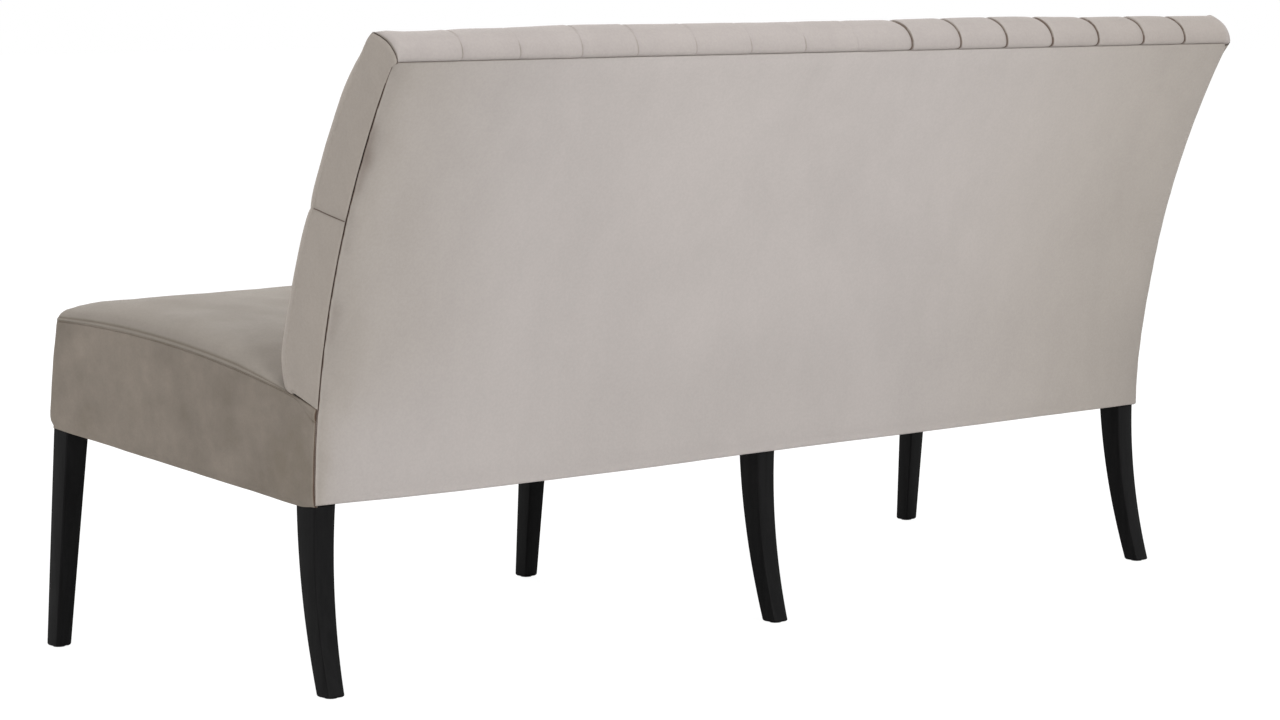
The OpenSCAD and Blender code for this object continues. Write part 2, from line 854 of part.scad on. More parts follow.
function band_point(a, draw) = [
    band_mid_y + (band_depth / 2 - draw) * cos(a),
    band_roll_z + (band_roll_h - draw) * sin(a)
];
function back_ring(x, e, d) =
    let (
        front = concat(
            [[tuck_point[0] + e, tuck_point[1]], [front_y(tuck_z) + tuck_roll + e, tuck_z]],
            [for (z = front_zs) [front_y(z) + e, z]],
            [for (a = front_roll_angles) band_point(a, e + d)]
        ),
        rear = concat(
            [for (a = rear_roll_angles) band_point(a, e + d)],
            [
                [max(band_rear_y - band_depth / 16 - e, rear_y(band_seam_z) - back_cover_t + fit), band_seam_z],
                [rear_y(band_seam_z) - back_cover_t, band_seam_z]
            ],
            [for (z = backward(front_zs)) [rear_y(z) - back_cover_t, z]],
            [rear_foot]
        )
    )
    [for (p = concat(front, rear)) [x, p[0], p[1]]];

// stations across the back as [x, rounding of the edge, pleat depth]
end_stations = [
    for (i = [0 : len(end_distances) - 1])
        [back_half - end_distances[i], edge_round * end_inset_shares[i], 0]
];
pleat_stations = [
    for (k = [channel_count / 2 - 1 : -1 : 1 - channel_count / 2])
        each [
            [k * channel_w + pleat_half_w, 0, 0],
            [k * channel_w, 0, pleat_depth],
            [k * channel_w - pleat_half_w, 0, 0]
        ]
];
back_stations = concat(
    end_stations,
    pleat_stations,
    [for (s = backward(end_stations)) [-s[0], s[1], s[2]]]
);

// the inner face of the cover from the side, and the same line drawn in by a gap
function inner_back(gap) = concat(
    [[front_y(tuck_z) + tuck_roll + back_cover_t + gap, tuck_z]],
    [for (z = front_zs) [front_y(z) + back_cover_t + gap, z]],
    [for (a = inner_roll_angles) band_point(a, back_cover_t + pleat_depth + gap)]
);
roll_face_y = rear_y(band_seam_z) - 4 * back_cover_t;
roll_face_z = band_point(90, back_cover_t + pleat_depth)[1] - back_cover_t;

module inside_back_cover() {
    far_y = band_rear_y + overrun;
    color(velvet)
        difference() {
            skin([for (s = back_stations) back_ring(s[0], s[1], s[2])]);
            side_prism(concat(
                [[tuck_point[0] + back_cover_t, seat_rear_z], [tuck_point[0] + back_cover_t, tuck_point[1] + fit]],
                inner_back(0),
                [
                    [roll_face_y, roll_face_z],
                    [roll_face_y, band_seam_z - back_cover_t],
                    [far_y, band_seam_z - back_cover_t],
                    [far_y, seat_rear_z]
                ]
            ), side_wall - back_half, back_half - side_wall);
        }
}

module back_foam() {
    top_z = top_rail_z + top_rail_t + fit;
    front_gap = 2 * fit + web_t;
    color(foam)
        side_prism(concat(
            inner_back(fit),
            [
                [roll_face_y - fit, roll_face_z - fit],
                [roll_face_y - fit, top_z],
                [top_rail_rear_y - top_rail_t - fit, top_z],
                [top_rail_rear_y - top_rail_t - fit, top_rail_z + bore_fit]
            ],
            [for (z = backward(post_zs)) if (z > tuck_z + fit) [post_front_y(z) - front_gap, z]],
            [[post_front_y(tuck_z) - front_gap, tuck_z]]
        ), side_wall + fit - back_half, back_half - side_wall - fit);
}

module back_wadding() {
    half_x = post_edge_x + post_w / 2;
    zs = [for (z = post_zs) z - fit];
    color(fibre)
        side_prism(concat(
            [for (z = zs) [post_rear_y(z) + fit, z]],
            [for (z = backward(zs)) [rear_y(z) - panel_t - fit, z]]
        ), -half_x, half_x);
}

// Outside back panel: closes the rear from the band seam down to the foot of the back
panel_zs = concat(
    [foot_z, (foot_z + rear_foot[1]) / 2, rear_foot[1]],
    front_zs,
    [band_seam_z - fit]
);
function panel_ring(x, puff) =
    concat(
        [for (z = panel_zs) [x, rear_y(z) - panel_t, z]],
        [for (z = backward(panel_zs))
            [x, rear_y(z) + puff * panel_crown * lerp(panel_foot_share, 1, sin(180 * rise_share(z))), z]]
    );
panel_half = [
    for (i = [0 : len(panel_edge_insets) - 1])
        [back_half - panel_edge_insets[i], panel_edge_shares[i]]
];
panel_stations = concat(panel_half, [for (s = backward(panel_half)) [-s[0], s[1]]]);

module outside_back_panel() {
    color(velvet)
        skin([for (s = panel_stations) panel_ring(s[0], s[1])]);
}

// Covered buttons of the inside back, in rows that are staggered by half a channel
module button() {
    r = button_d / 2;
    profile = [[r - button_rim / 2, 0], [r, button_h - button_rim], [r / 2, button_h]];
    skin([
        for (p = profile)
            [
                for (i = [0 : button_sides - 1])
                    let (a = 360 * i / button_sides)
                    [p[0] * cos(a), p[0] * sin(a), p[1]]
            ]
    ]);
}

module back_buttons() {
    color(velvet_shade)
        for (row = [0 : button_rows - 1])
            let (
                z = row_zs[row],
                lean = atan2(front_y(z + fit) - front_y(z - fit), 2 * fit),
                count = row % 2 == 1 ? channel_count : channel_count - 1
            )
            for (k = [0 : count - 1])
                translate([(k - (count - 1) / 2) * channel_w, front_y(z) - fit, z])
                    rotate([90 - lean, 0, 0])
                        button();
}

front_leg_left();
front_leg_centre();
front_leg_right();
rear_leg_left();
rear_leg_centre();
rear_leg_right();
foot_glides();
front_rail();
rear_rail();
side_rail_left();
side_rail_right();
cross_rail_left();
cross_rail_centre();
cross_rail_right();
corner_block_front_left();
corner_block_front_right();
corner_block_rear_left();
corner_block_rear_right();
back_post_left();
back_post_inner_left();
back_post_centre();
back_post_inner_right();
back_post_right();
back_top_rail();
back_stretchers();
leg_studs();
leg_inserts();
post_bolts();
post_nuts();
top_rail_screws();
seat_webbing();
seat_cross_webbing();
back_webbing();
seat_foam();
back_foam();
back_wadding();
seat_top_cover();
seat_front_border();
seat_side_border_left();
seat_side_border_right();
inside_back_cover();
back_buttons();
outside_back_panel();
dust_cover();
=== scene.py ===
import json
import math

import bmesh
import bpy
import numpy as np
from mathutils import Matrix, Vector


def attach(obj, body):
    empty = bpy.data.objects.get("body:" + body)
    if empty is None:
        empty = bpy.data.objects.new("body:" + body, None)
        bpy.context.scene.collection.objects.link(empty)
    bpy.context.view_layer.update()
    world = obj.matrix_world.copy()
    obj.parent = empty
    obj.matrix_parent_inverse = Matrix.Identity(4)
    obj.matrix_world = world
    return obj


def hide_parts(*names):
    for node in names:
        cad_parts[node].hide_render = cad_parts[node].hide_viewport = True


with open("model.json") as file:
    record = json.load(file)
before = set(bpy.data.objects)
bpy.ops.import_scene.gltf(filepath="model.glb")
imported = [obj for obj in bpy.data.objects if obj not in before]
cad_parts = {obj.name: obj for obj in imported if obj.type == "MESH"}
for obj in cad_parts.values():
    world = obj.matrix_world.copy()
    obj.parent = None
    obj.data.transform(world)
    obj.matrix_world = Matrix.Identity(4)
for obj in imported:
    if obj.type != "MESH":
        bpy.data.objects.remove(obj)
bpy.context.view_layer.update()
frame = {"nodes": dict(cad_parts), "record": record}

# Sizes of the sofa in metres, the same as in its solids. It faces -Y, and +X is its near end.
BACK_HALF = 0.861
SEAT_FLARE = 0.114
SEAT_LEN = 0.557
SEAT_Z = 0.256
PITCH = math.radians(7.2)
SEAM_REAR = 0.1365
SEAM_ARCH = 0.0315
SEAM_PEAK = 0.61 * SEAT_LEN
SEAT_CROWN = 0.031
CORNER_R = 0.014
BULGE = 0.009
SIDE_SHARE = 1 / 3
TUCK_V = 0.064
RAIL_LIFT = 0.0015
RAIL_TOP = 0.0815
BAND_Z = 0.860
BAND_H = 0.041
BAND_DEPTH = 0.086
ROLL_SHARE = 0.8
LEAN = 0.172
FOOT_T = 0.090
HEAD_T = 0.076
OVERHANG = 0.010
PANEL_CROWN = 0.009
PANEL_LIFT = 0.009
PITCH_X = 2 * BACK_HALF / 16
ROWS = (0.550, 0.655, 0.760)
GLIDE_H = 0.0015
FRONT_W, FRONT_D, FRONT_FOOT, FRONT_SPLAY, FRONT_RAKE = 0.038, 0.035, 0.026, 0.002, 0.029
REAR_W, REAR_D, REAR_FOOT, REAR_SPLAY, REAR_SWEEP = 0.037, 0.041, 0.028, 0.005, 0.041

SPLAY = math.atan(SEAT_FLARE / 2 / SEAT_LEN)
FRONT_LEG_V = SEAT_LEN - BULGE - FRONT_D / 2
REAR_LEG_V = 0.027
REAR_Y = (FRONT_LEG_V * math.cos(PITCH) + FRONT_RAKE + FRONT_FOOT / 2 - LEAN - OVERHANG) / 2
FOOT_Z = SEAT_Z + PANEL_LIFT
RISE = BAND_Z - FOOT_Z


def mm(*values):
    return np.array(values) / 1000


def lerp(a, b, t):
    return a + (b - a) * t


def smooth(a, b, x):
    """0 below a, 1 above b, and a smooth step between them."""
    t = np.clip((np.asarray(x, float) - a) / (b - a), 0, 1)
    return t * t * (3 - 2 * t)


def bell(x, width):
    return np.exp(-((np.asarray(x, float) / width) ** 2))


def fall(x, length):
    """1 at 0, and smaller by a factor e for each length."""
    return np.exp(-x / length)


def half_w(v):
    return BACK_HALF + SEAT_FLARE / 2 * v / SEAT_LEN


def seam_w(v):
    return SEAM_REAR + SEAM_ARCH * (1 - ((v - SEAM_PEAK) / SEAM_PEAK) ** 2)


def seat_point(x, v, w):
    """A point of the tilted seat frame in the sofa's own frame: v runs forward and w up."""
    x, v, w = np.broadcast_arrays(np.asarray(x, float), v, w)
    y = REAR_Y - v * math.cos(PITCH) + w * math.sin(PITCH)
    z = SEAT_Z + v * math.sin(PITCH) + w * math.cos(PITCH)
    return np.stack([x, y, z], -1)


def rise_share(z):
    return np.maximum(0, np.asarray(z, float) - FOOT_Z) / RISE


def rear_y(z):
    return REAR_Y + LEAN * rise_share(z) ** 2


def front_y(z):
    return rear_y(z) - lerp(FOOT_T, HEAD_T, rise_share(z))


def waves(points, seed, length, count=9):
    """Smooth noise of about -1 to 1 at points (..., 3), with features of about the given length."""
    rng = np.random.default_rng(seed)
    total = 0
    for _ in range(count):
        d = rng.normal(size=3)
        d *= 2 * math.pi / length * rng.uniform(0.5, 1.6) / np.linalg.norm(d)
        total = total + np.sin(points @ d + rng.uniform(0, 2 * math.pi))
    return total / math.sqrt(count)


def along(points):
    """Distance of each point along a polyline."""
    return np.concatenate([[0], np.cumsum(np.linalg.norm(np.diff(points, axis=0), axis=1))])


def resample(points, steps):
    """Points at the given distances along a polyline."""
    s = along(points)
    return np.stack([np.interp(steps, s, points[:, k]) for k in range(points.shape[1])], 1)


def soften(points, rounds=3):
    """Cuts the corners of an open polyline."""
    points = np.asarray(points, float)
    for _ in range(rounds):
        a, b = points[:-1], points[1:]
        cut = np.stack([a * 0.75 + b * 0.25, a * 0.25 + b * 0.75], 1).reshape(-1, points.shape[1])
        points = np.vstack([points[:1], cut, points[-1:]])
    return points


def merge_steps(base, extra, gap):
    """Sorted values of base and extra, without the base values that lie within gap of an extra one."""
    extra = np.unique(np.round(extra, 6))
    keep = [b for b in base if np.abs(extra - b).min() > gap]
    return np.sort(np.concatenate([keep, extra]))


# Meshes
def make(name, verts, faces, pile_and_painted_shade=None, shade_warmth=None):
    """A smooth piece, its doubled points merged. Its velvet darkens where the first value is below 0
    (painted shade, and pile that lies differently); the second tints the painted shade warmer.
    """
    mesh = bpy.data.meshes.new(name)
    mesh.from_pydata(np.asarray(verts).tolist(), [], [list(map(int, f)) for f in faces])
    mesh.update()
    for label, values in (("pile_and_painted_shade", pile_and_painted_shade), ("shade_warmth", shade_warmth)):
        if values is not None:
            layer = mesh.attributes.new(label, "FLOAT", "POINT")
            layer.data.foreach_set("value", np.asarray(values, np.float32))
    bm = bmesh.new()
    bm.from_mesh(mesh)
    bmesh.ops.remove_doubles(bm, verts=bm.verts, dist=1e-6)
    bmesh.ops.delete(bm, geom=[v for v in bm.verts if not v.link_faces], context="VERTS")
    bmesh.ops.recalc_face_normals(bm, faces=bm.faces)
    bm.to_mesh(mesh)
    bm.free()
    mesh.polygons.foreach_set("use_smooth", [True] * len(mesh.polygons))
    obj = bpy.data.objects.new(name, mesh)
    bpy.context.scene.collection.objects.link(obj)
    return obj


def grid_faces(rows, cols):
    """Numbers of the points of a grid, and of the corners of its faces."""
    index = np.arange(rows * cols).reshape(rows, cols)
    return index, np.stack([index[:-1, :-1], index[:-1, 1:], index[1:, 1:], index[1:, :-1]], -1)


def tube_faces(base, rings, sides):
    """Faces of a tube of rings of points, numbered from base on, open at its ends."""
    faces = []
    for start in range(base, base + (rings - 1) * sides, sides):
        for i in range(sides):
            a, b = start + i, start + (i + 1) % sides
            faces.append((a, b, b + sides, a + sides))
    return faces


def shell(name, outer, inner, pile_and_painted_shade, shade_warmth=None):
    """A closed piece between two grids of points of the same shape."""
    rows, cols = outer.shape[:2]
    index, front = grid_faces(rows, cols)
    front = front.reshape(-1, 4)
    back = front[:, ::-1] + rows * cols
    ring = np.concatenate([index[0, :-1], index[:-1, -1], index[-1, :0:-1], index[:0:-1, 0]])
    nxt = np.roll(ring, -1)
    rim = np.stack([nxt, ring, ring + rows * cols, nxt + rows * cols], -1)
    verts = np.vstack([outer.reshape(-1, 3), inner.reshape(-1, 3)])
    plain = np.zeros(rows * cols)
    shade = np.concatenate([pile_and_painted_shade.ravel(), plain])
    tint = np.concatenate([shade_warmth.ravel(), plain]) if shade_warmth is not None else None
    return make(name, verts, np.vstack([front, back, rim]), shade, tint)


# Cloth: how far velvet that is held along its seams swells out over soft filling
CLOTH_FRAMES = 20
CLOTH_PRESSURE = 4.0
BACK_CAP, PANEL_CAP, SEAT_CAP = 0.0040, 0.0020, 0.0024
MEAN_SWELL = 0.0012


def settle(points, held, outward, cap):
    """Runs a cloth on a grid of points, and gives its lift along its normals, no more than cap."""
    rows, cols = points.shape[:2]
    faces = grid_faces(rows, cols)[1].reshape(-1, 4)
    a, b, c = points[0, 0], points[0, 1], points[1, 1]
    if np.dot(np.cross(b - a, c - a), outward) < 0:
        faces = faces[:, ::-1]
    mesh = bpy.data.meshes.new("settling")
    mesh.from_pydata(points.reshape(-1, 3).tolist(), [], faces.tolist())
    mesh.update()
    obj = bpy.data.objects.new("settling", mesh)
    scene = bpy.context.scene
    scene.collection.objects.link(obj)
    group = obj.vertex_groups.new(name="held")
    group.add([int(i) for i in np.flatnonzero(held.ravel())], 1.0, "REPLACE")
    cloth_mod = obj.modifiers.new("settling", "CLOTH")
    cfg = cloth_mod.settings
    cfg.quality = 5
    cfg.mass = 0.3
    cfg.tension_stiffness = cfg.compression_stiffness = 15
    cfg.bending_stiffness = 2
    cfg.air_damping = 3
    cfg.vertex_group_mass = group.name
    cfg.use_pressure = True
    cfg.uniform_pressure_force = CLOTH_PRESSURE
    cfg.effector_weights.gravity = 0
    cloth_mod.collision_settings.use_collision = False
    cloth_mod.point_cache.frame_start = 1
    cloth_mod.point_cache.frame_end = CLOTH_FRAMES
    for frame_number in range(1, CLOTH_FRAMES + 1):
        scene.frame_set(frame_number)
    done = obj.evaluated_get(bpy.context.evaluated_depsgraph_get()).data
    settled = np.zeros(rows * cols * 3, np.float32)
    done.vertices.foreach_get("co", settled)
    normals = np.zeros(rows * cols * 3, np.float32)
    mesh.vertices.foreach_get("normal", normals)
    moved = settled.reshape(-1, 3) - points.reshape(-1, 3)
    lift = (moved * normals.reshape(-1, 3)).sum(1).reshape(rows, cols)
    bpy.data.objects.remove(obj)
    bpy.data.meshes.remove(mesh)
    scene.frame_set(1)
    return cap * np.tanh(lift / cap)


def between(grid, us, vs, u, v):
    """Values of a grid, with its rows at us and its columns at vs, at any places (u, v)."""
    i = np.clip(np.interp(u, us, np.arange(len(us))), 0, len(us) - 1.001)
    j = np.clip(np.interp(v, vs, np.arange(len(vs))), 0, len(vs) - 1.001)
    i0, j0 = i.astype(int), j.astype(int)
    top = lerp(grid[i0, j0], grid[i0, j0 + 1], j - j0)
    low = lerp(grid[i0 + 1, j0], grid[i0 + 1, j0 + 1], j - j0)
    return lerp(top, low, i - i0)


def place(obj, material, slot, *stands_for):
    obj.data.materials.clear()
    obj.data.materials.append(material)
    if stands_for:
        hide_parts(*stands_for)
    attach(obj, "root")
    return obj


# Materials
NOISE_LOW, NOISE_HIGH = 0.3, 0.7


def linear(rgb):
    return tuple(c / 12.92 if c <= 0.04045 else ((c + 0.055) / 1.055) ** 2.4 for c in rgb)


def add_node(tree, kind, inputs=None, **fields):
    """A new node. Each input named or numbered gets a value, or a link from another node's output."""
    n = tree.nodes.new(kind)
    for key, value in fields.items():
        setattr(n, key, value)
    for key, value in (inputs or {}).items():
        if isinstance(value, bpy.types.NodeSocket):
            tree.links.new(value, n.inputs[key])
        elif value is not None:
            n.inputs[key].default_value = value
    return n


class Paint:
    """A material with its node tree and a Principled shader, and short ways to add nodes."""

    def __init__(self, name):
        self.mat = bpy.data.materials.new(name)
        self.mat.use_nodes = True
        self.coords = self.node("ShaderNodeTexCoord").outputs["Object"]

    def node(self, kind, inputs=None, **fields):
        return add_node(self.mat.node_tree, kind, inputs, **fields)

    def stretched(self, scale):
        mapping = self.node("ShaderNodeMapping", {"Vector": self.coords, "Scale": scale})
        return mapping.outputs["Vector"]

    def noise(self, scale, detail=3.0, rough=0.55, twist=0.0, vector=None):
        return self.node("ShaderNodeTexNoise", {
            "Scale": scale, "Detail": detail, "Roughness": rough, "Distortion": twist,
            "Vector": vector or self.coords,
        }).outputs["Fac"]

    def bands(self, scale, twist, direction="X"):
        inputs = {"Scale": scale, "Distortion": twist, "Vector": self.coords}
        wave = self.node("ShaderNodeTexWave", inputs, wave_type="BANDS", bands_direction=direction)
        return wave.outputs["Fac"]

    def ramp(self, value, low, high, out_low, out_high):
        return self.node("ShaderNodeMapRange", {
            "Value": value, "From Min": low, "From Max": high, "To Min": out_low, "To Max": out_high,
        }, clamp=True, interpolation_type="SMOOTHSTEP").outputs["Result"]

    def spread(self, noise, out_low, out_high):
        return self.ramp(noise, NOISE_LOW, NOISE_HIGH, out_low, out_high)

    def math(self, kind, a, b):
        return self.node("ShaderNodeMath", {0: a, 1: b}, operation=kind).outputs[0]

    def attribute(self, name):
        return self.node("ShaderNodeAttribute", attribute_name=name).outputs["Fac"]

    def mix(self, factor, a, b):
        a, b = [(*c, 1) if isinstance(c, tuple) else c for c in (a, b)]
        return self.node("ShaderNodeMix", {"Factor": factor, 6: a, 7: b}, data_type="RGBA").outputs[2]

    def scaled(self, colour, factor):
        """A colour times a value."""
        product = self.node("ShaderNodeVectorMath", {0: colour, "Scale": factor}, operation="SCALE")
        return product.outputs[0]

    def bump(self, height, strength, distance, below=None):
        inputs = {"Strength": strength, "Distance": distance, "Height": height, "Normal": below}
        return self.node("ShaderNodeBump", inputs).outputs["Normal"]

    def finish(self, colour, normal, rough, **numbers):
        bsdf = self.mat.node_tree.nodes["Principled BSDF"]
        for key, output in (("Base Color", colour), ("Normal", normal), ("Roughness", rough)):
            self.mat.node_tree.links.new(output, bsdf.inputs[key])
        for key, value in numbers.items():
            bsdf.inputs[key.replace("_", " ")].default_value = value
        return self.mat


PAINTED_SHADE_TINT = (0.998, 0.982, 0.925)
SEAM_SHADOW_BROWN = linear((0.50, 0.38, 0.31))
EDGE_WEAR_AND_HIGHLIGHT = linear((0.20, 0.18, 0.17))


def velvet(name, rgb, mottle, streak=(1, 1, 0.5)):
    """Short pile velvet: soft blotches where the pile lies differently, fine pile, and a sheen."""
    p = Paint(name)
    broad = p.spread(p.noise(3.1, 4, 0.6, 0.6, p.stretched(streak)), 1 - mottle, 1 + mottle)
    less = mottle * 0.6
    patch = p.spread(p.noise(17, 4, 0.62, 0.3, p.stretched(streak)), 1 - less, 1 + less)
    grain = p.spread(p.noise(260, 2, 0.6), 0.975, 1.025)
    shade = p.math("MULTIPLY", p.math("MULTIPLY", broad, patch), grain)
    # painted shade: a point attribute darkens the colour at seams, creases, folds and on the sides, with
    # pile that lies differently; darker places get a warmer tint, and the darkest, the seam lines, turn
    # brown as painted seam shadow
    pile_and_painted_shade = p.attribute("pile_and_painted_shade")
    shade = p.math("MULTIPLY", shade, p.math("ADD", pile_and_painted_shade, 1))
    darkness = p.math("MULTIPLY", pile_and_painted_shade, -1)
    tint = p.math("MAXIMUM", p.ramp(darkness, 0.03, 0.24, 0, 0.45), p.attribute("shade_warmth"))
    tinted = p.mix(tint, linear(rgb), linear([c * share for c, share in zip(rgb, PAINTED_SHADE_TINT)]))
    seam = p.ramp(darkness, 0.25, 0.72, 0, 0.9)
    colour = p.scaled(p.mix(seam, tinted, SEAM_SHADOW_BROWN), shade)
    normal = p.bump(p.noise(2600, 1, 0.5), 0.25, 0.0006)
    normal = p.bump(p.noise(420, 3, 0.6), 0.16, 0.0012, normal)
    normal = p.bump(p.noise(34, 3, 0.5), 0.10, 0.006, normal)
    rough = p.spread(p.noise(9, 3), 0.74, 0.86)
    sheen = tuple(min(1, c * 1.15) for c in linear(rgb))
    return p.finish(
        colour, normal, rough,
        Sheen_Weight=0.28, Sheen_Roughness=0.42, Sheen_Tint=(*sheen, 1), Specular_IOR_Level=0.22,
    )


def lacquer(name, rgb):
    """Satin near-black lacquer on open-grained wood, lighter in specks along the edges: rubbed wear and
    painted highlight.
    """
    p = Paint(name)
    grain = p.noise(90, 5, 0.65, 0.4, p.stretched((1, 1, 0.05)))
    colour = p.scaled(linear(rgb), p.ramp(grain, 0.35, 0.7, 0.8, 1.5))
    # lighter colour on convex edges, partly rubbed wear and partly painted highlight
    edge = p.ramp(p.node("ShaderNodeNewGeometry").outputs["Pointiness"], 0.52, 0.60, 0, 1)
    speck = p.ramp(p.noise(130, 3, 0.7), 0.45, 0.7, 0, 0.5)
    colour = p.mix(p.math("MULTIPLY", edge, speck), colour, EDGE_WEAR_AND_HIGHLIGHT)
    normal = p.bump(grain, 0.18, 0.0008)
    normal = p.bump(p.noise(1800, 2), 0.05, 0.0003, normal)
    return p.finish(colour, normal, p.spread(p.noise(22, 4), 0.34, 0.48), Specular_IOR_Level=0.08)


def timber(name, light, dark, rings, axis):
    """Planed or sawn wood with its grain along one axis."""
    p = Paint(name)
    scale = [1.0, 1.0, 1.0]
    scale[axis] = 0.04
    grain = p.noise(rings, 6, 0.6, 1.2, p.stretched(scale))
    fine = p.noise(rings * 9, 3, 0.6, 0, p.stretched(scale))
    both = p.math("ADD", p.math("MULTIPLY", grain, 0.7), p.math("MULTIPLY", fine, 0.3))
    colour = p.mix(p.ramp(both, 0.35, 0.65, 0, 1), linear(dark), linear(light))
    return p.finish(colour, p.bump(fine, 0.25, 0.0006), p.spread(fine, 0.55, 0.75))


def plies(name, light, dark):
    """Plywood: thin layers that are seen edge on, across the width."""
    p = Paint(name)
    grain = p.noise(60, 5, 0.6, 0.8, p.stretched((1, 1, 0.08)))
    layers = p.ramp(p.bands(110, 0.6), 0.35, 0.6, 0.35, 1)
    colour = p.mix(p.math("MULTIPLY", layers, p.spread(grain, 0.7, 1)), linear(dark), linear(light))
    return p.finish(colour, p.bump(grain, 0.3, 0.0006), p.spread(grain, 0.6, 0.8))


def metal(name, rgb, rough_low, rough_high, scratch=(1, 1, 6)):
    p = Paint(name)
    fine = p.noise(700, 3, 0.6, 0, p.stretched(scratch))
    colour = p.scaled(linear(rgb), p.spread(p.noise(60, 4), 0.86, 1.05))
    rough = p.spread(fine, rough_low, rough_high)
    return p.finish(colour, p.bump(fine, 0.12, 0.0003), rough, Metallic=1.0)


def strap(name, rgb):
    """Woven webbing: a plain weave of thick yarns with a stripe."""
    p = Paint(name)
    yarn = p.math("MULTIPLY", p.bands(160, 0.3), p.bands(210, 0.3, "DIAGONAL"))
    colour = p.scaled(linear(rgb), p.ramp(yarn, 0, 1, 0.6, 1.2))
    return p.finish(colour, p.bump(yarn, 0.5, 0.0012), p.spread(p.noise(300), 0.8, 0.95))


def felt(name, rgb, scale, depth):
    """Non-woven cloth: random cells and threads."""
    p = Paint(name)
    cells = p.node("ShaderNodeTexVoronoi", {"Scale": scale, "Vector": p.coords})
    spots = p.noise(scale * 0.6, 5, 0.7)
    height = p.math("ADD", cells.outputs["Distance"], spots)
    colour = p.scaled(linear(rgb), p.ramp(height, 0.3, 1.3, 0.8, 1.12))
    return p.finish(colour, p.bump(height, 0.4, depth), p.spread(spots, 0.82, 0.95), Sheen_Weight=0.08)


# one velvet throughout: the back, seat and border are darker copies of the panel's colour, painted shade
# for the less light they catch and the way their pile faces it; the thread is darker so the stitch lines
# stay dark as painted shade
PANEL = velvet("velvet_panel", (0.690, 0.664, 0.650), 0.026)
BACK = velvet("velvet_back", (0.656, 0.627, 0.612), 0.030)
SEAT = velvet("velvet_seat", (0.562, 0.534, 0.502), 0.040, (1, 1, 1))
BORDER = velvet("velvet_border", (0.513, 0.478, 0.440), 0.085, (1, 1, 0.8))
THREAD = velvet("velvet_thread", (0.49, 0.455, 0.42), 0.02)
LEG = lacquer("leg_lacquer", (0.055, 0.054, 0.056))
BEECH_TONES = ((0.80, 0.67, 0.50), (0.68, 0.52, 0.36), 26)
BEECH_X = timber("beech_lengthwise", *BEECH_TONES, 0)
BEECH_Y = timber("beech_crosswise", *BEECH_TONES, 1)
PLY = plies("birch_plywood", (0.80, 0.68, 0.50), (0.52, 0.38, 0.24))
STEEL = metal("zinc_steel", (0.72, 0.73, 0.75), 0.28, 0.45)
BRASS = metal("brass", (0.80, 0.68, 0.40), 0.25, 0.40)
GLIDE = metal("glide_steel", (0.55, 0.55, 0.56), 0.35, 0.5, (1, 1, 1))
WEB = strap("webbing", (0.42, 0.36, 0.28))
DUST = felt("dust_cloth", (0.085, 0.085, 0.09), 900, 0.0004)

# Nodes of the frame that keep their shape and get a better material
FINISHES = {"beech": BEECH_X, "plywood": PLY, "zinc_steel": STEEL, "brass": BRASS, "webbing": WEB}
slot_of = {s["node"]: s["material_slot"] for s in frame["record"]["subparts"]}
for node, obj in frame["nodes"].items():
    finish = FINISHES.get(slot_of[node])
    if node.startswith(("side_rail", "cross_rail")):
        finish = BEECH_Y
    if node == "foot_glides":
        finish = GLIDE
    if finish:
        obj.data.materials.clear()
        obj.data.materials.append(finish)


# The back: its outline from the side, from the tuck at the seat up the front and over the rolled band
BAND_MID_Y = REAR_Y + LEAN + OVERHANG - BAND_DEPTH / 2
ROLL_Z = BAND_Z + BAND_H * (1 - ROLL_SHARE)
ROLL_H = BAND_H * ROLL_SHARE
ROLL_FROM_Z = 0.862
CREASE_Z = 0.665


def roll_points(*angles):
    turns = [math.radians(a) for a in angles]
    return [(BAND_MID_Y + BAND_DEPTH / 2 * math.cos(a), ROLL_Z + ROLL_H * math.sin(a)) for a in turns]


def at_front(*heights):
    return [(float(front_y(z)), z) for z in heights]


def from_rear(*points):
    """Points of the side outline, given in mm behind the rear edge of the seat and above the floor."""
    return [(REAR_Y + y / 1000, z / 1000) for y, z in points]


tuck = seat_point(0, TUCK_V + 0.001, float(seam_w(TUCK_V)) + 0.0009)[1:]
foot_curve = [
    (tuck[0] + 0.004, tuck[1] - 0.001),
    *from_rear((-50.7, 410.8), (-59.1, 417.5), (-64.4, 431.0), (-66.7, 448.0)),
    *at_front(0.460, 0.472),
]
crest_curve = [
    *at_front(0.838, 0.848),
    *from_rear((94.5, 857), (102.8, 870), (110.3, 881.6), (118.5, 891.2), (129.0, 898.5)),
]
roll_curve = [
    *from_rear((129.0, 898.5), (136.0, 900.5), (144.0, 901.2)),
    *roll_points(66, 50, 34, 18, 4, -8),
    *from_rear((178.9, 860.3), (174.8, 859.2), (168.8, 858.8)),
]
before_apex = np.vstack([
    soften(foot_curve)[:-1], at_front(*np.linspace(0.472, 0.838, 60)), soften(crest_curve)[1:],
])
outline = np.vstack([before_apex, soften(roll_curve)[1:]])
arc = along(outline)
top_index = int(np.argmax(outline[:, 1]))


def s_at_height(z):
    """Distance along the front of the outline at which it reaches a height."""
    return float(np.interp(z, outline[:top_index, 1], arc[:top_index]))


S_ALL = float(arc[-1])
S_APEX = float(arc[len(before_apex) - 1])
S_TOP = float(arc[top_index])
S_REAR = float(arc[int(np.argmax(outline[:, 0]))])
S_CREASE = s_at_height(CREASE_Z)
S_ROLL = s_at_height(ROLL_FROM_Z)
S_COMPRESS = s_at_height(0.80)

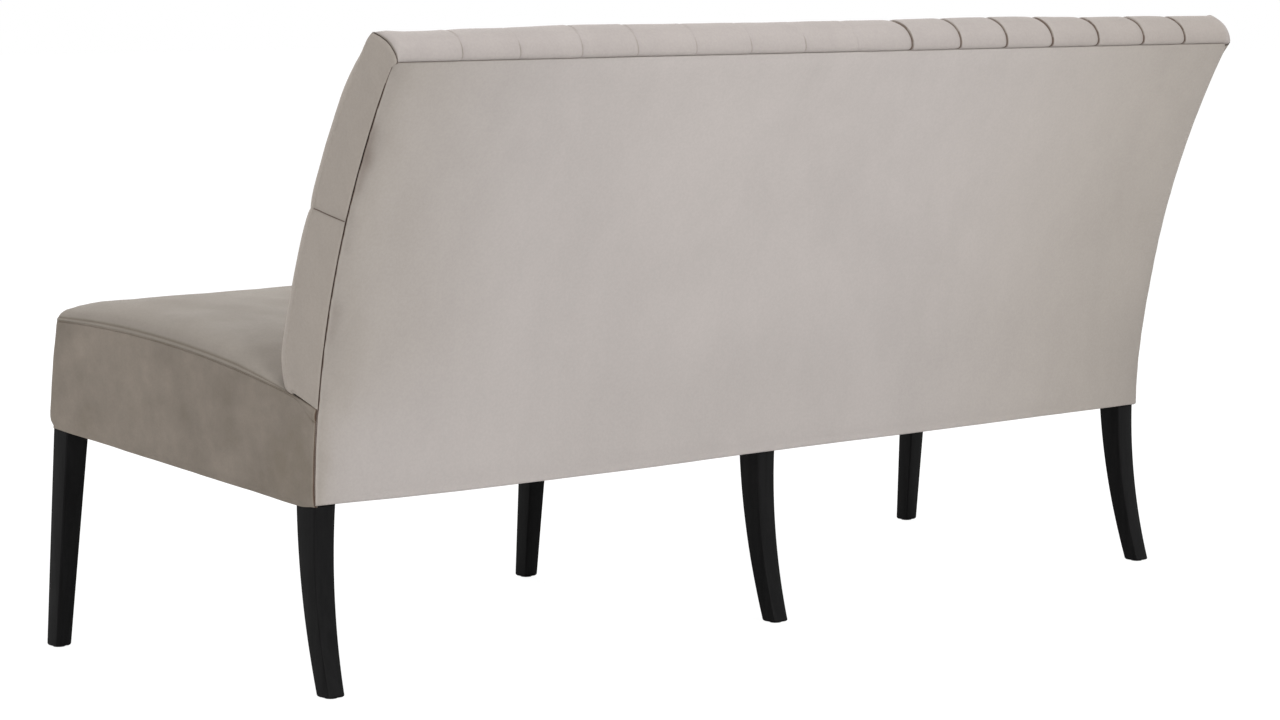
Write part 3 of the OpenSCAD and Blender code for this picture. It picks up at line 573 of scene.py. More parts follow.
# creases of the inside back as segments in x and height, between its covered buttons
LOW_ROW, MID_ROW, HIGH_ROW = ROWS
END_X = 7.2 * PITCH_X
buttons = []
for z in ROWS:
    ks = np.arange(-8, 8) + 0.5 if z == MID_ROW else np.arange(-7, 8)
    buttons += [(k * PITCH_X, z) for k in ks]
segments = []
for x, z in buttons:
    if z == LOW_ROW:
        segments.append(((x, z), (x, 0.40)))
    elif z == HIGH_ROW:
        segments.append(((x, z), (x, 1.2)))
    else:
        for x1 in (x - PITCH_X / 2, x + PITCH_X / 2):
            if abs(x1) < END_X:
                segments += [((x, z), (x1, HIGH_ROW)), ((x, z), (x1, LOW_ROW))]
        if abs(x) > END_X:
            segments.append(((x, z), (math.copysign(0.875, x), 0.6655)))


def crease_distance(x, h):
    """Distance of each point to the nearest crease, and to the nearest button."""
    best = np.full(x.shape, 9.0)
    for (x0, h0), (x1, h1) in segments:
        near = np.abs(x - (x0 + x1) / 2) < abs(x1 - x0) / 2 + 0.075
        px, ph = x[near] - x0, h[near] - h0
        dx, dh = x1 - x0, h1 - h0
        t = np.clip((px * dx + ph * dh) / (dx * dx + dh * dh), 0, 1)
        best[near] = np.minimum(best[near], np.hypot(px - t * dx, ph - t * dh))
    pit = np.full(x.shape, 9.0)
    for bx, bh in buttons:
        pit = np.minimum(pit, np.hypot(x - bx, h - bh))
    return best, pit


# folds of the near half: how dark their painted shade line is at the seam, along the arc, and a second
# line that joins it
NEAR_FOLDS = [
    (0.15, 0.0, 0.0), (0.70, 0.0, 0.0), (0.50, 0.05, 0.0), (0.40, 0.36, 0.32), (0.58, 0.66, 0.62),
    (0.55, 0.68, 0.60), (0.72, 0.06, 0.0), (0.70, 0.74, 0.70),
]


def pleats(x, s):
    """Height and painted shade of the band near its folded pleats, dark lines in the folds: each has a
    lip on its outer side.
    """
    total, dark = np.zeros(x.shape), np.zeros(x.shape)
    over = (s - S_ROLL) / (S_REAR - S_ROLL)
    rng = np.random.default_rng(5)
    for k in range(-7, 8):
        wander = rng.uniform(-1, 1, 4)
        bend = 0.0022 * wander[0] * np.sin(over * 2.6 + wander[1])
        bend += 0.002 * wander[2] * np.maximum(over - 0.8, 0)
        t = (x - k * PITCH_X - bend) * (-1.0 if k < 0 else 1.0)
        near = np.abs(t) < 0.05
        deep, line_w, fade, crisp = 0.0031, 0.0008, 1.0, 1.0
        if k >= 0:
            # on this half the folds lie flat, and show near the lower seam and some of them on the crest
            tick, arc_dark, second = NEAR_FOLDS[k]
            deep, line_w = 0.0024, 0.0012
            fade = 0.12 + 0.55 * tick * smooth(0.74, 0.98, over)
            fade = fade + 0.5 * arc_dark * bell(over - 0.55, 0.25)
            crisp = tick * smooth(0.80, 0.97, over) + arc_dark * bell(over - 0.55, 0.24)
            in_front = 1 - smooth(0.08, 0.26, over)
            fade, crisp = np.maximum(fade, in_front), np.maximum(crisp, in_front)
            branch = t + 0.0130 * np.clip(0.95 - over, 0, 1) ** 0.8
            dark += np.where(near, second * bell(over - 0.52, 0.20) * bell(branch, 0.0012), 0)
        deep = deep * fade * (1 + 0.15 * wander[3])
        inward, outward = np.minimum(t, 0), np.maximum(t, 0)
        lip = deep * 0.28 * bell(outward - 0.0035, 0.0055) - deep * 0.25 * fall(outward, 0.0008)
        total += np.where(near, np.where(t < 0, -deep * fall(-inward, 0.0080), lip), 0)
        dark += np.where(near, crisp * bell(t + 0.0003, line_w), 0)
        dark += np.where(near, crisp * 0.14 * bell(inward, 0.006) * (t < 0), 0)
    return total, dark


# the grid of the front and the band: columns in x, and steps along the outline
LAST_X, FREE_X = 0.845, 0.835
beside_fold = mm(0.3, 0.9, 1.6, 2.6, 4.2, 6.5, 9.5, 13)
fold_xs = [k * PITCH_X + np.concatenate([-beside_fold, beside_fold]) for k in range(-7, 8)]
fold_xs += [k * PITCH_X - np.arange(0.0020, 0.0125, 0.0007) for k in (3, 4, 5, 7)]
front_xs = merge_steps(np.arange(-LAST_X, LAST_X + 0.00001, 0.0056), np.concatenate(fold_xs), 0.0020)
beside_crease = mm(0.4, 1.0, 1.8, 3.0, 4.6, 6.8)
steps_s = np.concatenate([
    np.linspace(0, 0.05, 14)[:-1], np.arange(0.05, S_ROLL, 0.0047), np.linspace(S_ROLL, S_ALL, 54),
])
steps_s = merge_steps(steps_s, np.concatenate([
    S_CREASE - beside_crease, [S_CREASE], S_CREASE + beside_crease,
    S_APEX + mm(-6, -3, -1.2, 0, 1.2, 3, 6), S_ALL - mm(0, 0.6, 1.3, 2.2),
]), 0.0011)
path = resample(outline, steps_s)
ahead = resample(outline, np.minimum(steps_s + 0.002, S_ALL))
behind = resample(outline, np.maximum(steps_s - 0.002, 0))
tangent = (ahead - behind) / np.linalg.norm(ahead - behind, axis=1)[:, None]
normal = np.stack([-tangent[:, 1], tangent[:, 0]], 1)
# a height that runs on over the roll, for the creases
height = np.where(steps_s < S_ROLL, path[:, 1], ROLL_FROM_Z + steps_s - S_ROLL)

# the corner between the front or the band and the side face: how wide it is, and where it ends
corner_in = lerp(0.009, 0.0006, smooth(S_APEX - 0.045, S_APEX - 0.002, steps_s))
corner_in = lerp(0.0030, corner_in, smooth(0.0, 0.045, steps_s))
corner_w = corner_in + 0.0100 * smooth(S_APEX + 0.004, S_APEX + 0.034, steps_s)
foot_flare = SEAT_FLARE / 2 * TUCK_V / SEAT_LEN * bell(steps_s, 0.045)
widen = np.maximum(0.0042 * smooth(S_APEX - 0.004, S_APEX - 0.10, steps_s), foot_flare)
apex_normal = normal[int(np.argmin(np.abs(steps_s - S_APEX)))]
mitre_line = np.array([
    outline[len(before_apex) - 1] - apex_normal * 0.0006,
    *from_rear(
        (144.0, 893.2), (158.3, 886.8), (166.3, 881.2), (172.8, 874.5), (177.5, 868.5),
        (180.1, 863.5), (180.5, 860.0), (179.1, 857.4), (175.3, 856.0), (170.5, 855.2),
    ),
])
mitre_shares = np.array([0, 0.19, 0.37, 0.48, 0.58, 0.68, 0.77, 0.83, 0.88, 0.93, 1.0])
edge_line = path - normal * corner_in[:, None]
on_band = steps_s >= S_APEX
for axis in (0, 1):
    mitre_s = S_APEX + (S_ALL - S_APEX) * mitre_shares
    edge_line[on_band, axis] = np.interp(steps_s[on_band], mitre_s, mitre_line[:, axis])

S2, X2 = np.meshgrid(steps_s, front_xs, indexing="ij")
H2 = np.broadcast_to(height[:, None], X2.shape)
room = (BACK_HALF + widen - corner_w - FREE_X)[:, None]
squeezed = np.sign(X2) * (FREE_X + (np.abs(X2) - FREE_X) * room / (LAST_X - FREE_X))
outer_x = np.where(np.abs(X2) > FREE_X, squeezed, X2)
dist, pit = crease_distance(outer_x, H2)
band = smooth(0.800, 0.868, H2)
on_roll = smooth(0.80, 0.87, H2)
near_side = smooth(0.815, 0.850, np.abs(outer_x))
rolled_over = (S2 - S_ROLL) / (S_REAR - S_ROLL)
end_fade = 1 - smooth(S_REAR + 0.006, S_ALL, S2)

# channels and diamonds between the creases, sunk buttons, and the padded edge of the sides
CHANNEL_W, BAND_CHANNEL_W = 0.046, 0.020
CHANNEL_DEEP, BAND_CHANNEL_DEEP = 0.0125, 0.0014
pillow = 1 - (1 - np.minimum(dist / lerp(CHANNEL_W, BAND_CHANNEL_W, band), 1)) ** 2
depth = lerp(CHANNEL_DEEP, BAND_CHANNEL_DEEP, band) * (1 - 0.35 * (1 - smooth(0.47, 0.54, H2)))
flat_half = smooth(0.25, 0.48, rolled_over) * smooth(-0.02, 0.02, X2)
depth = depth * smooth(0.412, 0.44, H2) * (1 - 0.85 * flat_half)
disp = -depth * (1 - pillow) * (1 - 0.75 * near_side) + 0.0015 * pillow * (1 - band)
FULL_Z = [0.43, 0.57, 0.60, 0.63, 0.665, 0.70, 0.735, 0.77, 0.80, 0.83, 0.87]
FULLER = mm(8.0, 8.0, 7.2, 6.8, 7.0, 6.0, 7.0, 7.2, 7.4, 8.4, 8.4)
disp += near_side * (1 - band) * np.interp(H2, FULL_Z, FULLER) * smooth(0.402, 0.440, H2)
disp += near_side * np.interp(H2, [0.80, 0.83, 0.855, 0.87, 0.89, 0.905], mm(0, 2.4, 4.8, 3.8, 1.2, 0))
disp -= near_side * 0.0010 * bell(S2 - S_CREASE, 0.006)
disp -= 0.0022 * fall(dist, 0.0022) * (1 - band)
disp += 0.0045 * bell(pit, 0.040) - 0.0125 * bell(pit, 0.017)
fold_height, fold_painted_shade = pleats(outer_x, S2)
disp += fold_height * on_roll
disp *= end_fade

# the velvet swells between creases, buttons and edges
hold_x = np.arange(-127, 128) * PITCH_X / 16
hold_z = LOW_ROW + np.arange(-10, 24) * (MID_ROW - LOW_ROW) / 8
HX, HZ = np.meshgrid(hold_x, hold_z)
to_line, to_button = crease_distance(HX, HZ)
held = (to_line < 0.0015) | (to_button < 0.010) | (np.abs(HX) > 0.852) | (HZ < 0.425) | (HZ > 0.845)
swell = settle(np.stack([HX, front_y(HZ), HZ], -1), held, (0, -1, 0), BACK_CAP)
swell_share = (1 - band) * (1 - near_side) * smooth(0.425, 0.45, H2)
disp += between(swell, hold_z, hold_x, H2, outer_x) * swell_share
across_path = np.broadcast_to(path[:, None, :], (*X2.shape, 2))
points3 = np.concatenate([outer_x[..., None], across_path], -1)
uneven = 0.0007 * waves(points3, 3, 0.16) + 0.0003 * waves(points3, 4, 0.05)
disp += uneven * end_fade * (1 - 0.6 * band)

# each fold shifts a little to the side as it goes over
FOLD_SHIFT = mm(0, 4.3, -0.5, -1.2, 0, -1.6, -7.0, -7.6, 0.6, 3.0, 3.2, 3.8, 6.0, 1.7, 5.3, -1.8, 0)
shift = np.interp(outer_x, np.arange(-8, 9) * PITCH_X, FOLD_SHIFT)
moved_x = outer_x + shift * smooth(0.0, 0.75, rolled_over)
front_grid = np.concatenate([moved_x[..., None], across_path + normal[:, None, :] * disp[..., None]], -1)

# unevenness of the top line
TOP_X = [
    -BACK_HALF, -0.80, -0.76, -0.685, -0.565, -0.45, -0.335, -0.235, -0.10, 0.02,
    0.165, 0.31, 0.45, 0.545, 0.655, 0.72, 0.77, 0.82, BACK_HALF,
]
TOP_RISE = mm(
    1.4, 1.6, 1.4, 2.2, 2.0, 3.8, 4.4, 4.2, 2.2, 2.3, 1.5, 1.1, 2.0, 1.8, -0.6, -1.0, -2.5, -3.4, -1.0,
)
crest_part = smooth(S_ROLL - 0.012, S_APEX + 0.002, steps_s) * (1 - smooth(S_TOP, S_REAR, steps_s))
front_grid[..., 2] += np.interp(moved_x, TOP_X, TOP_RISE) * crest_part[:, None]


FAR_OUT, FAR_BACK = 0.006, 0.0025


def far_out(z):
    """How strongly the far side stands out, by height."""
    return smooth(0.27, 0.50, z) * (1 - 0.5 * smooth(0.848, 0.859, z))


# the side faces run from the corner to the rear seam: columns by distance from the edge and to the seam
SEAM_TOP = 0.8528
SEAM_BEND_Z = 0.7815
CORNER_COLS = 9
up_seam = (steps_s - S_COMPRESS) / (S_ALL - S_COMPRESS)
seam_z = np.where(steps_s < S_COMPRESS, path[:, 1] - 0.0185, lerp(SEAM_BEND_Z, SEAM_TOP, up_seam))
seam_y = rear_y(seam_z) - 0.0004
seam_line = np.stack([seam_y, seam_z], 1)
row_len = np.linalg.norm(seam_line - edge_line, axis=1)[:, None]
from_edge = mm(0.4, 0.9, 1.5, 2.3, 3.5, 5.5, 8.5)
to_seam = mm(8.0, 5.0, 3.1, 2.1, 1.4, 0.8, 0.4, 0)
part = np.minimum(1, row_len / 0.030)
middle = lerp(from_edge[-1] * part, row_len - to_seam[0] * part, np.linspace(0, 1, 16)[None, 1:-1])
gable_d = np.hstack([from_edge * part, middle, row_len - to_seam * part])
gable_e = row_len - gable_d
gable_t = gable_d / row_len
is_mitre = smooth(S_APEX - 0.004, S_APEX + 0.003, steps_s)[:, None]
far_tip = 0.0125 * bell((steps_s - S_APEX) / (S_ALL - S_APEX) - 0.34, 0.33) * is_mitre[:, 0]
SG = np.broadcast_to(steps_s[:, None], gable_d.shape)


def side_corner(side, crest_rise):
    """The rounded corner between the front or the band and a side face, with its painted shade."""
    last = front_grid[:, 0 if side < 0 else -1, 1:] - path
    drop = (last * normal).sum(1)
    cols, shades = [], []
    for a in np.radians(np.linspace(0, 90, CORNER_COLS + 1)[1:]):
        turn = 1 - math.cos(a)
        yz = lerp(path, edge_line, turn) + normal * (drop * math.cos(a) ** 2)[:, None]
        x = BACK_HALF + widen - corner_w + corner_w * math.sin(a)
        if side < 0:
            x = x + turn * far_tip
        rise = crest_rise * crest_part * (1 - turn * (steps_s > S_APEX))
        cols.append(np.stack([side * x, yz[:, 0], yz[:, 1] + rise], -1))
        shades.append(-0.12 * turn * (1 - is_mitre[:, 0]) - 0.35 * is_mitre[:, 0] * float(turn > 0.8))
    return np.stack(cols, 1), np.stack(shades, 1)


def side_columns(side):
    """The rounded corner and the side face, from the front to the rear seam, with their painted shade.
    """
    crest_rise = float(np.interp(side * BACK_HALF, TOP_X, TOP_RISE))
    line = edge_line[:, None] + (seam_line - edge_line)[:, None] * gable_t[..., None]
    blend_in = smooth(S_APEX - 0.040, S_APEX + 0.004, SG)
    start = lerp(smooth(0, 0.035, gable_d), 1 - fall(gable_d, 0.0045), blend_in)
    amount = lerp(0.0040, 0.0022, blend_in) * smooth(0, 0.06, SG)
    x = BACK_HALF - 0.0004 + amount * start * (1 - fall(gable_e, 0.0060))
    x -= is_mitre * 0.0013 * bell(gable_d, 0.0014) + 0.0014 * bell(gable_e, 0.0016)
    across = np.sin(np.pi * np.clip(gable_t, 0, 1)) ** 0.5
    crease = 0.0017 * bell(SG - S_CREASE, 0.0011) + 0.0021 * bell(SG - S_CREASE - 0.001, 0.010)
    x -= crease * (0.35 + 0.65 * across)
    x += np.maximum(widen[:, None] * (1 - gable_t) ** 1.5, foot_flare[:, None] * (1 - gable_t))
    x += 0.0011 * gable_t * bell(SG, 0.02)
    y, z = line[..., 0] + 0, line[..., 1]
    if side < 0:
        x += FAR_OUT * far_out(z) * gable_t ** 0.5 + far_tip[:, None] * (1 - gable_t)
        y += FAR_BACK * far_out(z) * gable_t
    high = z + crest_rise * (crest_part * (steps_s <= S_APEX))[:, None] * (1 - gable_t) ** 2
    pts = np.stack([side * x, y, high], -1)
    pts[..., 0] += side * (0.0007 * waves(pts, 11, 0.09) + 0.0003 * waves(pts, 13, 0.035)) * across
    wobble = 1 + 0.10 * waves(np.stack([0 * z, z, line[..., 0]], -1) + side, 12, 0.022)
    # painted shade: dark lines at the mitre, the rear seam and the crease, a faint painted highlight
    # beside the mitre, and the whole side face darker for the less light it catches and the way its pile
    # faces
    shade = -0.86 * is_mitre * (1 - smooth(0.0010, 0.0019, gable_d))
    shade = np.minimum(shade, -0.72 * (1 - smooth(0.0006 * wobble, 0.0015 * wobble, gable_e)))
    shade = np.minimum(shade, -0.45 * bell(SG - S_CREASE, 0.0008))
    shade += 0.05 * is_mitre * bell(gable_d - 0.004, 0.0018) - 0.05 * fall(gable_e, 0.008)
    shade -= 0.04 * fall(np.abs(SG - S_CREASE), 0.006) + 0.12
    corner, corner_shade = side_corner(side, crest_rise)
    return np.concatenate([corner, pts], 1), np.concatenate([corner_shade, shade], 1)


(left, left_painted_shade), (right, right_painted_shade) = side_columns(-1), side_columns(1)
outer = np.concatenate([left[:, ::-1], front_grid, right], 1)
n_side = left.shape[1]

# inner side of the piece: foam up to the posts and the top rail, and thin walls beside them
WALL = 0.0088
POST_FOOT_T, POST_HEAD_T, POST_FOOT_Z, POST_LEN = 0.041, 0.028, 0.338, 0.477
inner_z = np.interp(steps_s, [0, S_ROLL, S_APEX, S_ALL], [tuck[1] + 0.012, 0.838, 0.8468, 0.8500])
post_t = lerp(POST_FOOT_T, POST_HEAD_T, np.clip((inner_z - POST_FOOT_Z) / POST_LEN, 0, 1))
inner_y = rear_y(np.minimum(inner_z, POST_FOOT_Z + POST_LEN)) - 0.010 - post_t - 0.0030
roll_inner_y = np.interp(steps_s, [S_ROLL, S_APEX, S_ALL], REAR_Y + mm(105.5, 107.3, 159.3))
inner_y = np.where(steps_s < S_ROLL, inner_y, roll_inner_y)
inner = outer.copy()
inner[..., 0] = np.clip(outer[..., 0], WALL - BACK_HALF, BACK_HALF - WALL)
to_rear = np.hstack([np.zeros((len(steps_s), CORNER_COLS)), gable_t])
to_rear = np.hstack([to_rear[:, ::-1], np.zeros(X2.shape), to_rear])
inner[..., 1] = lerp(inner_y[:, None], (seam_y - 0.0032)[:, None], to_rear)
inner[..., 2] = lerp(inner_z[:, None], np.minimum(seam_z, 0.8490)[:, None], to_rear)

# painted shade of the front and band: dark along the creases, in the button pits, in the pleat folds and
# at the band's rear seam, and darker on the far half of the roll, which also gets a warmer tint
front_painted_shade = -0.16 * fall(dist, 0.004) * (1 - band) - 0.10 * fall(pit, 0.012)
front_painted_shade -= 0.55 * fold_painted_shade * on_roll + 0.26 * smooth(S_ALL - 0.0012, S_ALL - 0.0007, S2)
front_painted_shade -= 0.06 * fall(S_ALL - S2, 0.004) + 0.045 * smooth(0.0, 0.7, -X2) * on_roll
pile_and_painted_shade = np.concatenate([left_painted_shade[:, ::-1], front_painted_shade, right_painted_shade], 1)
side_shade_warmth = np.full((len(steps_s), n_side), 0.55)
side_shade_warmth[:, :CORNER_COLS] *= 1 - is_mitre
shade_warmth = np.concatenate([side_shade_warmth[:, ::-1], 0.25 * smooth(0.1, 0.8, -X2) * on_roll, side_shade_warmth], 1)
inside_back = shell("inside_back", outer, inner, pile_and_painted_shade, shade_warmth)
place(inside_back, BACK, "velvet", "inside_back_cover", "back_foam")


# Covered buttons: a domed cap of velvet gathered at the rim, sunk into the back
BUTTON_RINGS = [mm(*r) for r in (
    (9.6, -3.0), (10.8, -1.2), (11.2, 0.6), (10.6, 2.6), (8.8, 4.3), (5.8, 5.5), (2.5, 6.1),
)]
BUTTON_SIDES = 24
BUTTON_SINK = 0.0135


def button_parts():
    verts, faces = [], []
    for n, (bx, bz) in enumerate(buttons):
        lean = math.atan(float(front_y(bz + 0.001) - front_y(bz - 0.001)) / 0.002)
        out = np.array([0, -math.cos(lean), math.sin(lean)])
        up = np.array([0, math.sin(lean), math.cos(lean)])
        middle = np.array([bx, float(front_y(bz)) + BUTTON_SINK, bz])
        base = len(verts)
        for r, (radius, high) in enumerate(BUTTON_RINGS):
            for i in range(BUTTON_SIDES):
                a = 2 * math.pi * (i + 0.37 * n) / BUTTON_SIDES
                gathered = radius * (1 + (0.02 if r < 3 else 0.0) * (-1) ** i)
                spoke = np.array([math.cos(a), 0, 0]) + math.sin(a) * up
                verts.append(middle + out * high + gathered * spoke)
        faces += tube_faces(base, len(BUTTON_RINGS), BUTTON_SIDES)
        last, top = len(verts) - BUTTON_SIDES, len(verts)
        verts += [middle + out * 0.0063, middle - out * 0.0032]
        for i in range(BUTTON_SIDES):
            j = (i + 1) % BUTTON_SIDES
            faces += [(last + i, last + j, top), (base + j, base + i, top + 1)]
    return verts, faces


caps = make("covered_buttons", *button_parts())
place(caps, BACK, "velvet", "back_buttons")

# The outside back panel, a little puffed, its edges rolled into the seams and turned under at the foot
PANEL_FOOT, PANEL_HEAD = 0.2640, BAND_Z - 0.0013
insets = np.concatenate([
    mm(0.3, 0.8, 1.4, 2.1, 3.0, 4.2, 6.0, 8.5, 12, 17, 24, 33, 45), np.linspace(0.057, BACK_HALF, 72),
])
panel_xs = np.concatenate([insets - BACK_HALF, (BACK_HALF - insets)[::-1][1:]])
under_dy = mm(-5.2, -3.6, -2.0, -0.9, -0.2, 0, 0, 0)
panel_zs = np.concatenate([
    PANEL_FOOT + mm(1.6, 0.4, 0.0, 0.5, 1.6, 3.2, 5.5, 9),
    np.arange(PANEL_FOOT + 0.014, PANEL_HEAD - 0.020, 0.0075),
    PANEL_HEAD - mm(18, 13, 9, 6.2, 4.2, 2.8, 1.8, 1.1, 0.5, 0),
])
under_dy = np.pad(under_dy, (0, len(panel_zs) - len(under_dy)))[:, None]
ZP, XP = np.meshgrid(panel_zs, panel_xs, indexing="ij")
FOOT_X = [
    -BACK_HALF, -0.77, -0.60, -0.45, -0.30, -0.12, 0.05, 0.20, 0.28, 0.45, 0.60, 0.72, 0.80, BACK_HALF,
]
FOOT_DROP = mm(3.0, 3.5, 4.2, 5.0, 5.5, 5.8, 6.2, 8.0, 8.5, 8.5, 8.2, 7.0, 5.4, 4.6)
ZP = ZP + 0.0015 * XP / BACK_HALF * (1 - smooth(0.27, 0.36, ZP))
ZP = ZP - np.interp(XP, FOOT_X, FOOT_DROP) * (1 - smooth(0.265, 0.36, ZP))
inset = BACK_HALF - np.abs(XP)
to_head = PANEL_HEAD - ZP
grid = np.stack([XP, rear_y(ZP), ZP], -1)
at_edge = np.stack([np.sign(XP) * 2.7, 0 * XP, ZP], -1)

share = 0.26 * (1 - fall(inset, 0.0045)) + 0.74 * (1 - np.exp(-((inset / 0.11) ** 1.3)))
puff = PANEL_CROWN * lerp(0.25, 1, np.sin(np.pi * np.clip(rise_share(ZP), 0, 1))) * share
puff += 0.0012 * (1 - fall(inset, 0.0045))
puff -= 0.0015 * bell(inset, 0.0017) + 0.0009 * bell(to_head, 0.0012)
puff += 0.00045 * fall(inset, 0.014) * waves(at_edge, 21, 0.034) * (1 - fall(inset, 0.003))
puff += (0.0006 * waves(grid, 22, 0.26) + 0.00025 * waves(grid, 23, 0.08)) * share
hold_x, hold_z = np.linspace(-0.855, 0.855, 129), np.linspace(0.268, 0.856, 45)
HX, HZ = np.meshgrid(hold_x, hold_z)
held = (np.abs(HX) > 0.85) | (HZ < 0.272) | (HZ > 0.850)
swell = settle(np.stack([HX, rear_y(HZ), HZ], -1), held, (0, 1, 0), PANEL_CAP)
puff += (between(swell, hold_z, hold_x, ZP, XP) - MEAN_SWELL) * share

far_edge = smooth(0.70, BACK_HALF, -XP) * far_out(ZP)
at_foot = 1 - smooth(PANEL_FOOT, PANEL_FOOT + 0.012, ZP)
over_posts = smooth(0.012, 0.03, inset) * smooth(0.36, 0.40, ZP) * (1 - smooth(0.79, 0.81, ZP))
grid[..., 0] -= FAR_OUT * far_edge
panel_outer, panel_inner = grid.copy(), grid.copy()
panel_outer[..., 1] += puff + under_dy + FAR_BACK * far_edge
panel_inner[..., 1] -= 0.0034 + 0.0055 * over_posts + 0.0035 * at_foot
panel_inner[..., 2] += 0.0012 * at_foot

# painted shade on the panel: dark lines at the seams, darker smears beside them, partly pile pressed
# there and partly painted shade of small puckers, darker toward both sides and low down, a little
# lighter high up, and a warmer tint on the far side and beside the near seam
flat_grid = np.stack([XP, rear_y(ZP), ZP], -1)
blot = waves(flat_grid * np.array([1.0, 0.6, 0.6]), 31, 0.11)
blot2 = waves(flat_grid * np.array([1.0, 0.6, 0.8]), 32, 0.045)
line_w = (1 + 0.12 * waves(at_edge, 24, 0.020)) * lerp(0.55, 1.0, smooth(0.385, 0.40, ZP))
near_half, near_end = smooth(0, 0.5, XP), smooth(0.35, BACK_HALF, XP)
far_end = smooth(0.20, BACK_HALF, -XP)
zone = fall(inset, 0.045) * (1 - fall(inset, 0.002))
panel_pile_and_shade = -0.72 * (1 - smooth(0.0008 * line_w, 0.0017 * line_w, inset))
panel_pile_and_shade = np.minimum(panel_pile_and_shade, -0.24 * (1 - smooth(0.0004, 0.0010, to_head)))
pile_and_pucker_shade = 0.045 + 0.085 * smooth(-0.4, 1.4, blot) + 0.035 * smooth(-0.2, 1.4, blot2)
panel_pile_and_shade -= zone * (0.6 + 0.7 * near_half) * pile_and_pucker_shade
panel_pile_and_shade -= 0.11 * fall(inset, 0.022) * bell(ZP - 0.73, 0.055) * (0.85 + 0.15 * blot2) * near_half
panel_pile_and_shade -= 0.130 * fall(inset, 0.012) * (0.8 + 0.2 * blot2) * near_half * (1 - fall(inset, 0.002))
panel_pile_and_shade -= 0.11 * near_end * smooth(0.28, 0.50, ZP) + 0.05 * near_end + 0.17 * far_end ** 1.3
panel_pile_and_shade += 0.02 * smooth(0.55, 0.80, ZP) * (1 - zone)
panel_pile_and_shade -= 0.05 * (1 - smooth(0.36, 0.52, ZP)) * (1 - smooth(0.25, 0.70, XP))
panel_shade_warmth = 0.45 * smooth(0.15, BACK_HALF, -XP) + 0.5 * fall(inset, 0.025) * near_half
outside_back = shell("outside_back", panel_outer, panel_inner, panel_pile_and_shade, panel_shade_warmth)
place(outside_back, PANEL, "velvet", "outside_back_panel", "back_wadding")


# The seat: plan outline with rounded front corners
CORNER_V = SEAT_LEN - CORNER_R
CORNER_X = half_w(CORNER_V) - CORNER_R / math.cos(SPLAY)
SEAM_GAP = 0.0004
STITCH, STITCH_W = 0.0021, 0.0006
CROWN_IN = mm(0, 2, 5, 9, 14, 22, 32, 48, 70, 100, 130, 200, 1000)
CROWN_UP = [0, 0.17, 0.38, 0.53, 0.64, 0.75, 0.84, 0.905, 0.95, 0.975, 0.99, 1.0, 1.0]


def inset_of(x, v):
    """Distance inward from the seam outline, along the sides and front."""
    side = (half_w(v) - np.abs(x)) * math.cos(SPLAY)
    front = SEAT_LEN - v
    corner = (side < CORNER_R) & (front < CORNER_R)
    round_corner = CORNER_R - np.hypot(CORNER_R - side, CORNER_R - front)
    return np.where(corner, round_corner, np.minimum(side, front))


def outline_x(v):
    """Half width of the outline at v, round the corner included."""
    into = np.maximum(CORNER_R - (SEAT_LEN - v), 0)
    bite = CORNER_R - np.sqrt(np.maximum(CORNER_R**2 - into**2, 0))
    return half_w(v) - bite / math.cos(SPLAY)


def seat_top(x, v):
    """Height of the seat, crowned and lower at its front corners, and the distance from its seam."""
    d = np.maximum(inset_of(x, v), 0)
    crown = SEAT_CROWN * np.interp(d, CROWN_IN, CROWN_UP) * np.clip((v - TUCK_V) / 0.11, 0, 1)
    crown = crown * (1 - 0.27 * bell(half_w(v) - np.abs(x), 0.085) * bell(SEAT_LEN - v, 0.075))
    return seam_w(v) + crown, d


EDGE_COLS = mm(0, 0.4, 0.9, 1.4, 1.8, 2.2, 2.7, 3.4, 4.5, 6.5, 9, 13, 18, 25, 35, 48, 64)
EDGE_ROWS = mm(
    75, 64, 54, 45, 37, 30, 24.5, 20, 16, 12.5, 9.5, 7.2, 5.5, 4.2, 3.2, 2.6, 2.1, 1.7, 1.2, 0.6, 0,
)
row_v = np.concatenate([np.linspace(TUCK_V, 0.46, 44), SEAT_LEN - EDGE_ROWS])[:, None]
half_x = outline_x(row_v)
seat_x = np.hstack([
    EDGE_COLS - half_x, np.linspace(-1, 1, 131) * (half_x - 0.08), (half_x - EDGE_COLS)[:, ::-1],
])
seat_v = np.broadcast_to(row_v, seat_x.shape)
top_w, d_in = seat_top(seat_x, seat_v)
seat_grid = seat_point(seat_x, seat_v, top_w - 0.0007 * bell(d_in - STITCH, STITCH_W))
hold_x, hold_v = np.linspace(-1, 1, 141), np.linspace(TUCK_V, SEAT_LEN, 44)
HX, HV = np.meshgrid(hold_x, hold_v)
HX = HX * half_w(HV)
held = inset_of(HX, HV) < 0.012
held[0] = True
swell = settle(seat_point(HX, HV, seat_top(HX, HV)[0]), held, (0, 0, 1), SEAT_CAP)
soft = smooth(0.006, 0.05, d_in)
swell = between(swell, hold_v, hold_x, seat_v, seat_x / half_w(seat_v))
seat_grid[..., 2] += (swell + MEAN_SWELL) * soft
seat_grid[..., 2] += (0.0014 * waves(seat_grid, 41, 0.30) + 0.0006 * waves(seat_grid, 42, 0.10)) * soft
LOW_INSET = 0.0062
low_x = seat_x * (1 - LOW_INSET / BACK_HALF)
low_v = TUCK_V + (seat_v - TUCK_V) * (1 - LOW_INSET / (SEAT_LEN - TUCK_V))
seat_low = seat_point(low_x, low_v, RAIL_TOP + 0.0034)
